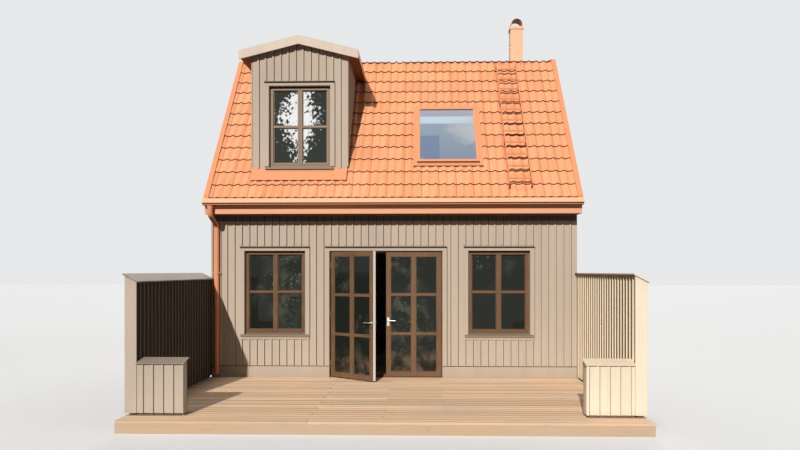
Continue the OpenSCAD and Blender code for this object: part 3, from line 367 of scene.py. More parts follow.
def coated_sheet(slot, colour, roughness, second, second_share):
    """Coated sheet, in a second colour where second_share says so."""
    made = Finish(slot, roughness)
    patches = made.where.noise(3.0, detail=3.0)
    dust = made.where.noise(38.0, (1.0, 1.0, 0.25), detail=2.0)
    share = second_share(made)
    dull = share.between(tinted(colour, 0.92), tinted(second, 0.94))
    fresh = share.between(tinted(colour, 1.06), second)
    sheet = (patches * 0.6 + dust * 0.4).between(dull, fresh)
    # Faces that look down are darkened: painted shade.
    shaded_below = (underside(made) * 0.85).between(sheet, tinted(colour, 0.20))
    made.dress(made.carried("joint").between(shaded_below, SHEET_SHADE), roughness - 0.08 + patches * 0.16,
               patches, 0.004, 0.35)


coated_sheet("tile_red_metal", TILE_RED, 0.55, PAINTED_SUN_RED, painted_sun_share)
coated_sheet("sill_metal", SILL_TONE, 0.50, CAP_TONE, right_cap)
coated_sheet("stack_metal", STACK_TONE, 0.50, PAINTED_SUN_RED, painted_sun_share)
print("sheets:", TILE_RED, SILL_TONE, STACK_TONE)

# %% [markdown]
# The boxed eave is painted wood again, with its grain along the house, and its underside is painted dark
# as painted shade. The window and door frames are stained brown: the stain lets the grain through as darker
# lines, and it has a satin shine. The sun has bleached the dormer's window.

# %% Eave paint and brown timber
EAVE_PAINT, EAVE_SHADE = (0.82, 0.42, 0.26), (0.16, 0.055, 0.025)
BROWN = (0.175, 0.100, 0.056)
BLEACHED = (0.30, 0.225, 0.165)
BLEACH_LINE = (3.3, 3.6)         # the heights between which the stain turns pale

# The eave's undersides take the dark second colour: painted shade.
painted_wood("eave_paint", EAVE_PAINT, 0, 0.1, EAVE_SHADE, underside)

stained = Finish("brown_timber", 0.42)
lines = stained.where.noise(3.0, (46.0, 46.0, 2.2), detail=5.0)
tone = stained.where.noise(2.2, detail=2.0)
stain = (lines * 0.75 + tone * 0.25).step(0.3, 0.72).between(tinted(BROWN, 0.72), tinted(BROWN, 1.22))
in_the_roof = stained.axis(2).step(*BLEACH_LINE) * 0.8
stained.dress(in_the_roof.between(stain, BLEACHED), 0.34 + lines * 0.2, lines, 0.0008, 0.5)
print("brown:", BROWN)

# %% [markdown]
# The deck is ribbed softwood, oiled and then greyed by the sun. Each board carries a number of its own for
# its shade, like the tiles. The grain runs along the boards, with darker knots and a grey bloom.

# %% Deck timber
DECK = (0.76, 0.53, 0.35)
SUN_GREY = (0.52, 0.45, 0.38)

deck = Finish("deck_timber", 0.7)
along_grain = deck.where.noise(3.0, (1.4, 40.0, 40.0), detail=5.0)
knots = deck.where.noise(5.0, (1.0, 3.0, 3.0), detail=2.0)
bloom = deck.where.noise(1.1, detail=3.0)
board_tone = deck.carried("batch") * 0.75 + along_grain * 0.45 - 0.1
plank = board_tone.between(tinted(DECK, 0.72), tinted(DECK, 1.18))
knotted = (knots.step(0.66, 0.78) * 0.45).between(plank, tinted(DECK, 0.5))
greyed = (bloom.step(0.4, 0.8) * 0.35).between(knotted, SUN_GREY)
deck.dress(greyed, 0.58 + along_grain * 0.25, along_grain, 0.0015, 0.6)
print("deck:", DECK)

# %% [markdown]
# Inside, and on the two party walls, the surfaces are plain: lining boards, smooth render, softwood and
# cast concrete. They still have a grain or a sandy face, because they show through the open door and at
# the gable ends. The handles are brushed metal.

# %% Plain surfaces
EVEN = (1.0, 1.0, 1.0)
EDGE_WHITE = (0.93, 0.92, 0.90)


def plain(slot, colour, roughness, scale, stretch, depth):
    """A plain face with a grain or a sandy skin, white where a piece carries the number pale."""
    made = Finish(slot, roughness)
    face = made.where.noise(scale, stretch, detail=5.0)
    clouds = made.where.noise(0.9, detail=3.0)
    mottled = (face * 0.4 + clouds * 0.6).step(0.25, 0.75)
    toned = mottled.between(tinted(colour, 0.92), tinted(colour, 1.05))
    made.dress(made.carried("pale").between(toned, EDGE_WHITE), roughness - 0.06 + face * 0.12,
               face, depth, 0.5)


plain("concrete", (0.60, 0.58, 0.55), 0.85, 30.0, EVEN, 0.003)
plain("floor_timber", (0.56, 0.42, 0.29), 0.55, 4.0, (1.5, 40.0, 40.0), 0.001)
plain("wall_lining", (0.74, 0.71, 0.66), 0.75, 60.0, EVEN, 0.0008)
plain("party_render", (0.66, 0.62, 0.56), 0.88, 45.0, EVEN, 0.002)

steel = Finish("satin_metal", 0.3, metallic=1.0)
brushed = steel.where.noise(6.0, (60.0, 60.0, 4.0), detail=3.0)
steel_tone = brushed.between((0.62, 0.61, 0.59), (0.76, 0.75, 0.72))
steel.dress(steel_tone, 0.24 + brushed * 0.16, brushed, 0.0002, 0.3)
print("plain finishes:", len(finishes))

# %% [markdown]
# Window glass looks dark by day, because the room behind it is much darker than the garden. A fully clear
# shader would need a furnished room and a garden to look right. So the glass is a dark, very smooth surface
# that still lets a little of the room through. Its colour holds what such panes mirror by day: leaves in
# the garden low down, clouds in the dormer, and plain sky in the tilted roof window.

# %% Glass
ROOM_DARK = (0.015, 0.018, 0.015)
GARDEN = (0.070, 0.074, 0.054)
CLOUD = (0.84, 0.88, 0.93)
LEAF_LIGHT = (0.16, 0.19, 0.12)
LEAF_DARK = (0.030, 0.036, 0.030)
GLASS_FLOOR = (0.20, 0.13, 0.085)
PANEL_BLUE = (0.13, 0.19, 0.33)
HAZE = (0.44, 0.47, 0.49)
ABOVE_EAVE = 3.4          # panes over this height look at the sky
BRIGHT_Z = 4.45           # the height of the brightest place in the dormer's panes
pane_low, pane_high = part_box("roof_window_glass")
front_low, front_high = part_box("dormer_front")
dormer_x = (front_low.x + front_high.x) / 2

glass = Finish("window_glass", 0.03, shine=0.2)
up, across = glass.axis(2), glass.axis(0)
ripple = glass.where.noise(2.5, detail=1.0)
leaves = glass.where.noise(5.0, detail=6.0)
twigs = glass.where.noise(24.0, detail=8.0)
broad = glass.where.noise(1.1, (1.0, 1.0, 0.7), detail=2.0)

specks = glass.where.noise(22.0, detail=9.0)
green = (leaves.step(0.46, 0.66) * broad.step(0.42, 0.60) * 0.8).between(ROOM_DARK, GARDEN)
garden = (specks.step(0.60, 0.68) * broad.step(0.46, 0.60) * 0.6).between(green, LEAF_LIGHT)
indoor_floor = (1.0 - up.step(0.35, 0.70)) * leaves.step(0.40, 0.65) * 0.5
low_panes = indoor_floor.between(garden, GLASS_FLOOR)

off_middle = (across - dormer_x).size()
off_height = (up - BRIGHT_Z).size()
open_sky = (leaves * 0.7 + twigs * 1.1 + 0.12 - off_middle * 1.15 - off_height * 0.55).step(0.60, 0.76)
dormer_view = open_sky.between(LEAF_DARK, CLOUD)

share = (up - pane_low.z) * (1.0 / (pane_high.z - pane_low.z))
share_x = (across - pane_low.x) * (1.0 / (pane_high.x - pane_low.x))
# The stops are painted reflection of the sky; the last, dark one at the head is painted shade under the
# frame.
sky_bands = share.node("ShaderNodeValToRGB", {"stops": [
    (0.0, (0.20, 0.25, 0.34)), (0.70, (0.25, 0.32, 0.40)), (0.72, (0.44, 0.56, 0.68)),
    (0.84, (0.48, 0.57, 0.68)), (0.87, (0.30, 0.33, 0.42)), (0.97, (0.36, 0.36, 0.42)),
    (1.0, (0.08, 0.05, 0.05))]}, {"Fac": share})
panel = (1.0 - share_x.step(0.34, 0.36)) * (1.0 - share.step(0.46, 0.48)) * 0.7
haze = (leaves * 0.35 + broad * 0.4 + share_x * 0.5 - (share - 0.58).size() * 0.8).step(0.50, 0.80) * 0.75
roof_view = haze.between(panel.between(sky_bands, PANEL_BLUE), HAZE)
high_view = across.step(-0.2, 0.0).between(dormer_view, roof_view)
glass.feed("Base Color", up.step(ABOVE_EAVE - 0.05, ABOVE_EAVE).between(low_panes, high_view))
glass.shader.inputs["Alpha"].default_value = 0.88
glass.bump(ripple, 0.0012, 0.2)
print("glass ready")

# %% [markdown]
# Each solid of the frame takes the finish that the record gives it. The mesh is left alone: only its
# material slots are filled.

# %% Dress the frame's own solids
slot_of = {row["node"]: row["material_slot"] for row in frame["record"]["subparts"]}
for name, slot in slot_of.items():
    materials = nodes[name].data.materials
    materials.clear()
    materials.append(finishes[slot].material)
print("dressed", len(slot_of), "nodes in", len(set(slot_of.values())), "finishes")

# %% [markdown]
# New pieces are modelled as by hand: a primitive at its size, shaped in edit mode, then copied. A few
# helpers keep those steps short. Every helper deselects everything first, because an operator acts on all
# that is selected.

# %% Modelling helpers
def only(piece):
    """Select one piece and nothing else."""
    bpy.ops.object.select_all(action="DESELECT")
    piece.select_set(True)
    bpy.context.view_layer.objects.active = piece


def settle(piece):
    """Write the piece's place, turn and size into its mesh."""
    only(piece)
    bpy.ops.object.transform_apply(location=True, rotation=True, scale=True)


def primitive(add, drawn_to=(1.0, 1.0, 1.0), **settings):
    """Add a primitive with nothing else selected."""
    bpy.ops.object.select_all(action="DESELECT")
    add(**settings)
    made = bpy.context.object
    made.scale = drawn_to
    settle(made)
    return made


@contextmanager
def edit_mode(pick=None, kind="VERT"):
    """Edit the active mesh, with all or nothing of it selected where pick says so."""
    bpy.ops.object.mode_set(mode="EDIT")
    bpy.ops.mesh.select_mode(type=kind)
    if pick:
        bpy.ops.mesh.select_all(action=pick)
    yield
    bpy.ops.mesh.select_mode(type="VERT")
    bpy.ops.object.mode_set(mode="OBJECT")


def modified(piece, kind, **settings):
    """Add a modifier with its settings and apply it."""
    modifier = piece.modifiers.new(kind, kind)
    for key, value in settings.items():
        setattr(modifier, key, value)
    only(piece)
    bpy.ops.object.modifier_apply(modifier=modifier.name)
    return piece


def smoothed(piece, degrees):
    """Shade the piece smooth, apart from edges sharper than an angle."""
    only(piece)
    bpy.ops.object.shade_smooth_by_angle(angle=math.radians(degrees))
    return piece


def board(low, high, ease=0.002):
    """A planed board between two corners, its edges eased."""
    low, high = Vector(map(min, low, high)), Vector(map(max, low, high))
    made = primitive(bpy.ops.mesh.primitive_cube_add, high - low, size=1.0, location=(low + high) / 2)
    with edit_mode("SELECT"):
        bpy.ops.mesh.bevel(offset=ease, segments=1, affect="EDGES")
    return made


def cut(piece, place, normal):
    """Cut a piece at a plane and keep the side that the normal points away from."""
    only(piece)
    with edit_mode("SELECT"):
        bpy.ops.mesh.bisect(plane_co=place, plane_no=normal, use_fill=True, clear_outer=True)


def moved(x, y, z):
    return Matrix.Translation((x, y, z))


def turned(angle, axis="Z"):
    return Matrix.Rotation(angle, 4, axis)


def number(piece, value, name="batch"):
    """Write one number on every corner of a piece, for its finish to read."""
    layers = piece.data.attributes
    layer = layers.get(name) or layers.new(name, "FLOAT", "POINT")
    layer.data.foreach_set("value", np.full(len(piece.data.vertices), value, np.float32))
    return piece


def copied(pattern, move, stretch=0.0, axis=2):
    """A copy with its own mesh: its far half is moved out by stretch, then it goes to its place."""
    made = bpy.data.objects.new(pattern.name, pattern.data.copy())
    if stretch:
        middle = sum(v.co[axis] for v in made.data.vertices) / len(made.data.vertices)
        for v in made.data.vertices:
            if v.co[axis] > middle:
                v.co[axis] += stretch
    made.data.transform(move)
    scene.collection.objects.link(made)
    return number(made, chance.random())


def joined(pieces, name, slot, body="house"):
    """Join pieces to one, give it its finish and let it ride on its body."""
    only(pieces[0])
    for piece in pieces:
        piece.select_set(True)
    if len(pieces) > 1:
        bpy.ops.object.join()
    made = bpy.context.object
    made.name = name
    made.data.name = name
    made.data.materials.clear()
    made.data.materials.append(finishes[slot].material)
    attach(made, body)
    print(name, len(made.data.polygons), "faces")
    return made


def discard(piece):
    """Remove a pattern that has been copied, with its mesh."""
    mesh = piece.data
    bpy.data.objects.remove(piece)
    bpy.data.meshes.remove(mesh)


def solids(node):
    """The box of each separate solid of a node, as (lowest corner, highest corner)."""
    mesh = nodes[node].data
    key = [tuple(round(c, 4) for c in v.co) for v in mesh.vertices]
    home = {k: k for k in key}

    def root(k):
        while home[k] != k:
            k = home[k]
        return k

    for face in mesh.polygons:
        corners = [root(key[i]) for i in face.vertices]
        for other in corners[1:]:
            home[root(other)] = root(corners[0])
    groups = {}
    for k in home:
        groups.setdefault(root(k), []).append(k)
    return [(Vector(map(min, *g)), Vector(map(max, *g))) for g in groups.values()]


print("helpers ready")

# %% [markdown]
# The house is clad in upright boards with a narrow batten over each joint. The boards are the solid's own
# face, so only the battens are added. One batten is modelled a metre high and copied at each joint, and
# each copy is stretched to the free height between the plinth, the casings, the flashings and the eave.

# %% Battens on the long walls
BATTEN_W = 0.028
BATTEN_T = 0.018
JOINT_W = 0.010
JOINT_T = 0.0015
STRIP_EASE = 0.0003      # of the thin dark strips that stand for joints and gaps
BATTEN_PITCH_NEAR = 0.124
FIRST_JOINT = 0.012
LEAST_BATTEN = 0.02
COVER_IN = 0.150         # a slim cover strip closes the joint to the next dwelling
COVER_W, COVER_T = 0.022, 0.024

casings = solids("window_casings")
flashings = solids("wall_flashings")
clad_low, clad_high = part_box("cladding")
house_w = clad_high.x - clad_low.x
joints = round(house_w / BATTEN_PITCH_NEAR)
batten_pitch = house_w / joints


def jointed_batten(thick, joint_w, joint, side=1):
    """A batten one metre high on a wall that faces -Y, with a dark strip on its right for side 1: an open
    joint and the batten's shadow, partly painted shade.
    """
    wood = number(board((-BATTEN_W / 2, -thick, 0.0), (BATTEN_W / 2, 0.0, 1.0)), 0.0, "joint")
    inner, outer = side * BATTEN_W / 2, side * (BATTEN_W / 2 + joint_w)
    dark_strip = board((inner, -JOINT_T, 0.0), (outer, 0.0, 1.0), STRIP_EASE)
    number(dark_strip, joint, "joint")
    only(wood)
    dark_strip.select_set(True)
    bpy.ops.object.join()
    return wood


def free_heights(x, low, high, holes):
    """The stretches of an upright at x between low and high that no hole crosses."""
    stretches = [(low, high)]
    for a, b in holes:
        if a.x - BATTEN_W / 2 < x < b.x + BATTEN_W / 2:
            stretches = [(s, t) for lo, hi in stretches for s, t in ((lo, min(hi, a.z)), (max(lo, b.z), hi))
                         if t - s > LEAST_BATTEN]
    return stretches


def wall_battens(name, side):
    """Battens on the front wall (side -1) or the rear wall (side 1)."""
    holes = [box for box in casings + flashings if box[0].y * side > 0 and box[1].z < clad_high.z]
    face = side * clad_high.y
    turn = turned(math.pi if side > 0 else 0.0)
    made = []
    for i in range(joints):
        x = clad_low.x + FIRST_JOINT + i * batten_pitch
        x = min(max(x, clad_low.x + BATTEN_W / 2), clad_high.x - BATTEN_W / 2)
        for low, high in free_heights(x, clad_low.z, clad_high.z, holes):
            made.append(copied(batten, moved(x, face, low) @ turn, high - low - 1.0))
    cover_x = clad_low.x + COVER_IN if side < 0 else clad_high.x - COVER_IN
    made.append(board((cover_x, face, clad_low.z), (cover_x + COVER_W, face + side * COVER_T, clad_high.z)))
    return joined(made, name, "painted_boards")


# Beside each wall batten a thin dark strip stands for the open joint and the batten's shadow: partly painted
# shade.
batten = jointed_batten(BATTEN_T, JOINT_W, 0.92)
wall_battens("front_battens", -1)
wall_battens("rear_battens", 1)

# %% [markdown]
# The dormer has the same boards on its front and its cheeks. Its battens end under the little gable roof
# and on the tiles, so their heights follow two slopes: the roof pitch of the dormer and that of the house.

# %% Battens on the dormer
DORMER_PITCH = math.radians(14)
LOWER_PITCH = math.radians(52)
DORMER_JOINT = 0.054     # from the dormer's middle to the nearest joint
DORMER_JOINTS = range(-6, 6)
DORMER_ROOF_T = 0.1
LEAST_CHEEK_BATTEN = 0.05

half_dormer = (front_high.x - front_low.x) / 2
dormer_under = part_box("dormer_roof")[1].z - DORMER_ROOF_T / math.cos(DORMER_PITCH)
apron_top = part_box("dormer_apron")[1].z


def under_dormer_roof(offset):
    return dormer_under - abs(offset) * math.tan(DORMER_PITCH)


def dormer_battens():
    """Battens on the dormer's front and on both its cheeks."""
    holes = [box for box in casings + flashings if box[1].z > clad_high.z]
    made = []
    for i in DORMER_JOINTS:
        offset = DORMER_JOINT + i * batten_pitch
        x = dormer_x + offset
        top = under_dormer_roof(abs(offset) + BATTEN_W / 2)
        for low, high in free_heights(x, apron_top, top, holes):
            made.append(copied(batten, moved(x, front_low.y, low), high - low - 1.0))
    top = under_dormer_roof(half_dormer)
    for side in (-1, 1):
        back = BATTEN_W / 2                     # how far behind the dormer's front the batten stands
        low = apron_top + (back + BATTEN_W / 2) * math.tan(LOWER_PITCH)
        while top - low >= LEAST_CHEEK_BATTEN:
            place = moved(dormer_x + side * half_dormer, front_low.y + back, low)
            made.append(copied(batten, place @ turned(side * math.pi / 2), top - low - 1.0))
            back += batten_pitch
            low = apron_top + (back + BATTEN_W / 2) * math.tan(LOWER_PITCH)
    return joined(made, "dormer_battens", "painted_boards")


dormer_battens()

# %% [markdown]
# The roof is laid with double pantiles: each has two narrow rolls and two wide troughs, and its nose lies
# on the tile below. One tile is drawn as a grid, its rolls are lifted line by line, and it gets its
# thickness. Its nose and the right foot of each roll carry a number for painted shade, and at the first
# roll's foot the tile also hooks into its neighbour.

# %% One double pantile
WAVES_NEAR = 0.1375
ROLL_RISE = 0.026
ROLL_SHARE = 0.33
TILE_T = 0.013
NOSE_STEP = 0.018
LINES_PER_WAVE = 8
HOOK_LINE = 3            # the grid line at the right foot of a roll
NOSE_EDGE = 0.009
UPPER_PITCH = math.radians(13)
TILE_BED = 0.05          # from the tiles' face down to the boards under them
NEAR = 1e-4

tiles_low, tiles_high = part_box("tiles_front")
eave_y = -tiles_low.y
eave_z = tiles_low.z + TILE_BED * math.cos(LOWER_PITCH)
break_y = -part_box("tiles_top")[0].y
break_z = eave_z + (eave_y - break_y) * math.tan(LOWER_PITCH)
lower_l = (eave_y - break_y) / math.cos(LOWER_PITCH)
upper_l = break_y / math.cos(UPPER_PITCH)
field_w = tiles_high.x - tiles_low.x
columns = round(field_w / WAVES_NEAR / 2)
tile_w = field_w / columns


def roll_height(share):
    """Height of the tile's face at a share of one wave, 0 in its trough."""
    away = min(share, 1 - share) / ROLL_SHARE
    return 0.0 if away >= 1 else ROLL_RISE * (1 + math.cos(math.pi * away)) / 2


def pantile(length, step):
    """A double pantile in the slope's frame: X across, Y up the slope, its nose at Y = 0."""
    lines = 2 * LINES_PER_WAVE
    made = primitive(bpy.ops.mesh.primitive_grid_add, (tile_w, length, 1.0), x_subdivisions=lines,
                     y_subdivisions=2, size=1.0, location=(tile_w / 2, length / 2, 0.0))
    mesh = made.data
    for i in range(lines + 1):
        for v in mesh.vertices:
            v.select = abs(v.co.x - i * tile_w / lines) < NEAR
        with edit_mode():
            rise = roll_height((i / LINES_PER_WAVE) % 1.0) - ROLL_RISE
            bpy.ops.transform.translate(value=(0.0, 0.0, rise))
            bpy.ops.mesh.select_all(action="DESELECT")
    # Painted shade: the right foot of each roll, darker at the first roll, where the tile also hooks into the
    # next, and the nose's edge.
    hook_shade = {HOOK_LINE: 0.40, HOOK_LINE + LINES_PER_WAVE: 0.22}
    troughs, dark = [], []
    for v in mesh.vertices:
        if NEAR < v.co.y < length - NEAR:
            v.co.y = NOSE_EDGE
        troughs.append(-v.co.z / ROLL_RISE)
        dark.append(1.0 if v.co.y < NEAR else hook_shade.get(round(v.co.x / tile_w * lines), 0.0))
        v.co.z -= v.co.y / step * NOSE_STEP
    for name, values in (("trough", troughs), ("joint", dark)):
        mesh.attributes.new(name, "FLOAT", "POINT").data.foreach_set("value", values)
    return smoothed(modified(made, "SOLIDIFY", thickness=TILE_T, offset=-1.0), 50)


print("field", round(field_w, 3), "m wide,", columns, "tiles of", round(tile_w * 1000, 1), "mm")

# %% [markdown]
# A row is an array of tiles, and each course is a copy of the row, cut where the dormer, the roof window or
# the stack stands, so no tile runs into them. A Boolean could cut the same holes. Here the course is split
# into rectangles round the holes and cut with planes, which follows the straight edges of what stands there.

# %% Rows, courses and cuts
TILE_LAP = 0.055
LEAST_PART = 0.03


def free_parts(area, holes):
    """Split the rectangle (x0, x1, y0, y1) round the holes, which are rectangles too."""
    for h in holes:
        x0, x1, y0, y1 = area
        if h[0] < x1 - 1e-6 and h[1] > x0 + 1e-6 and h[2] < y1 - 1e-6 and h[3] > y0 + 1e-6:
            a, b = max(x0, h[0]), min(x1, h[1])
            parts = [(x0, a, y0, y1), (b, x1, y0, y1), (a, b, y0, h[2]), (a, b, h[3], y1)]
            return [q for p in parts if p[1] - p[0] > LEAST_PART and p[3] - p[2] > LEAST_PART
                    for q in free_parts(p, holes)]
    return [area]


def tile_field(name, node, slope, length, courses, holes=()):
    """Lay one slope with courses of tiles, from its lower edge up."""
    step = length / courses
    tile_l = step + TILE_LAP
    row = pantile(tile_l, step)
    per_tile = len(row.data.vertices)
    modified(row, "ARRAY", count=columns, use_relative_offset=False, use_constant_offset=True,
             constant_offset_displace=(tile_w, 0.0, 0.0))
    made = []
    for course in range(courses):
        foot = course * step
        reach = min(foot + tile_l, length)
        shades = np.repeat([chance.random() for _ in range(columns)], per_tile)
        for x0, x1, y0, y1 in free_parts((0.0, field_w, foot, reach), holes):
            part = copied(row, moved(0.0, foot, 0.0))
            part.data.attributes["batch"].data.foreach_set("value", shades.astype(np.float32))
            for edge, whole, place, normal in (
                    (x0, 0.0, (x0, 0, 0), (-1, 0, 0)), (x1, field_w, (x1, 0, 0), (1, 0, 0)),
                    (y0, foot, (0, y0, 0), (0, -1, 0)), (y1, foot + tile_l, (0, y1, 0), (0, 1, 0))):
                if abs(edge - whole) > NEAR:
                    cut(part, place, normal)
            made.append(part)
    discard(row)
    field = joined(made, name, "clay_tiles")
    field.data.transform(slope @ moved(-field_w / 2, 0.0, 0.0))
    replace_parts(field, node)


lower_slope = moved(0, -eave_y, eave_z) @ turned(LOWER_PITCH, "X")
upper_slope = moved(0, -break_y, break_z) @ turned(UPPER_PITCH, "X")
half_turn = turned(math.pi)
print("slopes", round(lower_l, 3), "and", round(upper_l, 3), "m long")

# %% [markdown]
# Four slopes are laid: two steep ones and two shallow ones. The holes are measured on the frame's own
# solids, in the slope's frame, and the flashings lap over their edges.

# %% Lay the four slopes
LOWER_COURSES, UPPER_COURSES = 12, 8
FLASHING_LAP = 0.02
COLLAR_OUT = 0.018       # the stack's collar stands out past its walls

to_slope = moved(field_w / 2, 0, 0) @ lower_slope.inverted()
corners = [to_slope @ v.co for v in nodes["roof_window_frame"].data.vertices]
window_hole = (min(c.x for c in corners) + FLASHING_LAP, max(c.x for c in corners) - FLASHING_LAP,
               min(c.y for c in corners) + FLASHING_LAP, max(c.y for c in corners) - FLASHING_LAP)
dormer_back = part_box("dormer_cheeks")[1].y
dormer_hole = (front_low.x + field_w / 2, front_high.x + field_w / 2,
               (eave_y + front_low.y) / math.cos(LOWER_PITCH), (eave_y + dormer_back) / math.cos(LOWER_PITCH))
stack_low, stack_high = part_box("vent_stack")
stack_x = (stack_low.x + stack_high.x) / 2
stack_half = (stack_high.x - stack_low.x) / 2 - COLLAR_OUT
stack_foot = (break_y - stack_high.y) / math.cos(UPPER_PITCH)


def stack_hole(side):
    """The stack's hole in the front top slope (side 1) or the rear one (side -1)."""
    middle = side * stack_x + field_w / 2
    return middle - stack_half, middle + stack_half, stack_foot, upper_l + 1.0


tile_field("pantiles_front", "tiles_front", lower_slope, lower_l, LOWER_COURSES, (dormer_hole, window_hole))
tile_field("pantiles_rear", "tiles_rear", half_turn @ lower_slope, lower_l, LOWER_COURSES)
tile_field("pantiles_top_front", "tiles_top", upper_slope, upper_l, UPPER_COURSES, (stack_hole(1),))
tile_field("pantiles_top_rear", "tiles_top", half_turn @ upper_slope, upper_l, UPPER_COURSES,
           (stack_hole(-1),))

# %% [markdown]
# The hollows under the rolls of the lowest course are closed with eave stops, or birds would nest there.
# They are as dark as the shade in the hollows, partly painted shade. One stop is a flattened cylinder, cut in
# half, just wide enough for the hollow.

# %% Eave stops
STOP_T = 0.004
STOP_BACK = 0.005        # from the nose to the stop
STOP_END = 0.04          # the first and the last stop keep this far from the slope's edge
STOP_FILL = (0.8, 0.92)  # its shares of the hollow's half width and height
STOP_SINK = 0.008

stop = primitive(bpy.ops.mesh.primitive_cylinder_add, vertices=20, radius=1.0, depth=STOP_T,
                 rotation=(math.pi / 2, 0, 0))
stop.scale = (ROLL_SHARE * tile_w / 2 * STOP_FILL[0], 1.0, ROLL_RISE * STOP_FILL[1])
settle(stop)
cut(stop, (0, 0, -STOP_SINK), (0, 0, -1))
stops = []
for i in range(2 * columns + 1):
    x = min(max(i * tile_w / 2, STOP_END), field_w - STOP_END) - field_w / 2
    for slope in (lower_slope, half_turn @ lower_slope):
        stops.append(number(copied(stop, slope @ moved(x, STOP_BACK, -ROLL_RISE - TILE_T)), 1.0, "joint"))
discard(stop)
joined(stops, "eave_stops", "clay_tiles")

# %% [markdown]
# The gutter needs its folded front: a flat band at the top, a rolled bead above it, and under it a thin
# shadow and a second round fold, where the belly begins. The band is a long board of sheet, and the bead and
# the fold are thin cylinders. The band and the bead carry the number pale, which paints them a lighter
# orange as painted sunlight. The shadow line is painted shade: a slim strip that turns dark as the strips
# by the battens do. The plain gutters are copied and drawn in by a few millimetres, so that the bands
# end where the plain fronts did.

# %% Gutter fronts
BAND_H, BAND_T = 0.070, 0.004
BAND_OUT = 0.003         # the troughs are drawn in this far behind the bands
BEAD_R = 0.007
LINE_H, LINE_IN = 0.014, 0.001
FOLD_R, FOLD_IN = 0.010, 0.022

gutter_low, gutter_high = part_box("gutters")


def round_bar(radius, y, z):
    """A round bar along the whole gutter."""
    bar = primitive(bpy.ops.mesh.primitive_cylinder_add, vertices=16, radius=radius,
                    depth=gutter_high.x - gutter_low.x, rotation=(0, math.pi / 2, 0),
                    location=((gutter_low.x + gutter_high.x) / 2, y, z))
    return smoothed(bar, 40)


def gutter_front(side):
    """The band, its bead, the shadow line and the second fold on one long side."""
    y, back = side * gutter_high.y, side * (gutter_high.y - BAND_T)
    top, foot = gutter_high.z, gutter_high.z - BAND_H
    band = board((gutter_low.x, back, foot), (gutter_high.x, y, top - BEAD_R))
    bead = round_bar(BEAD_R, y - side * BEAD_R, top - BEAD_R)
    line = board((gutter_low.x, back, foot - LINE_H), (gutter_high.x, y - side * LINE_IN, foot), STRIP_EASE)
    fold = round_bar(FOLD_R, y - side * FOLD_IN, foot - LINE_H - FOLD_R)
    # Painted sunlight on the band and the bead, painted shade on the line.
    return [number(band, 1.0, "pale"), number(bead, 1.0, "pale"), number(line, 1.0, "joint"), fold]


def drawn_in_troughs():
    """A copy of both gutters, narrower across the house."""
    trough = bpy.data.objects.new("gutter_troughs", nodes["gutters"].data.copy())
    scene.collection.objects.link(trough)
    only(trough)
    with edit_mode("SELECT"):
        bpy.ops.mesh.remove_doubles(threshold=1e-5)
        narrower = 1.0 - BAND_OUT / gutter_high.y
        bpy.ops.transform.resize(value=(1.0, narrower, 1.0), center_override=(0.0, 0.0, 0.0))
    return trough


gutter_parts = [drawn_in_troughs()] + gutter_front(-1) + gutter_front(1)
gutters = joined(gutter_parts, "folded_gutters", "tile_red_metal")
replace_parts(gutters, "gutters")

# %% [markdown]
# A swan neck brings the water from the gutter back to the wall. It is one tube: a circle is extruded down,
# spun round the first bend, extruded along the slope, spun back round the second bend and extruded to the
# ground.

# %% Downpipe tube
PIPE_R = 0.041
PIPE_WALL = 0.002
BEND_R = 0.10
NECK_TURN = math.radians(70)
NECK_TOP = 2.805         # where the middle lines of the drop and of the slope meet
PIPE_BACK = 0.070        # from the wall to the pipe's middle
PIPE_IN = 0.110          # from the house's end to the pipe's middle
GUTTER_HALF = 0.065

gutter_mid = gutter_high.y - GUTTER_HALF
wall_pipe_y = -clad_high.y - PIPE_BACK
pipe_x = clad_low.x + PIPE_IN


def swan_neck():
    """The bent tube, in its place at the front left."""
    reach = gutter_mid + wall_pipe_y
    tangent = BEND_R * math.tan(NECK_TURN / 2)
    way = Vector((0.0, math.sin(NECK_TURN), -math.cos(NECK_TURN)))
    start = Vector((pipe_x, -gutter_mid, gutter_low.z))
    bend_one = Vector((pipe_x, -gutter_mid, NECK_TOP + tangent))
    bend_two = Vector((pipe_x, wall_pipe_y, NECK_TOP - reach / math.tan(NECK_TURN) - tangent))
    foot_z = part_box("downpipes")[0].z
    made = primitive(bpy.ops.mesh.primitive_circle_add, vertices=24, radius=PIPE_R, location=start)

    def extrude(way):
        bpy.ops.mesh.extrude_region_move(TRANSFORM_OT_translate={"value": way})

    def bend(angle, centre):
        bpy.ops.mesh.spin(steps=10, angle=angle, center=centre, axis=(1, 0, 0))

    with edit_mode("SELECT"):
        extrude(bend_one - start)
        bend(-NECK_TURN, bend_one + Vector((0, BEND_R, 0)))
        extrude(way * (reach / math.sin(NECK_TURN) - 2 * tangent))
        bend(NECK_TURN, bend_two - Vector((0, BEND_R, 0)))
        extrude((0, 0, foot_z - bend_two.z))
        bpy.ops.mesh.select_all(action="SELECT")
        bpy.ops.mesh.remove_doubles(threshold=1e-5)
        bpy.ops.mesh.normals_make_consistent(inside=False)
    return smoothed(modified(made, "SOLIDIFY", thickness=PIPE_WALL, offset=-1.0), 40), bend_two


pipe, bend_end = swan_neck()
print("tube of", len(pipe.data.vertices), "corners, its lower bend ends at", round(bend_end.z, 3))

# %% [markdown]
# The funnel, the sleeves at the joints and the wall clips are added to the tube. All the round ones are
# cones or cylinders with eased edges, so one helper makes them. The rear pipe is the front one turned about
# the house's middle.

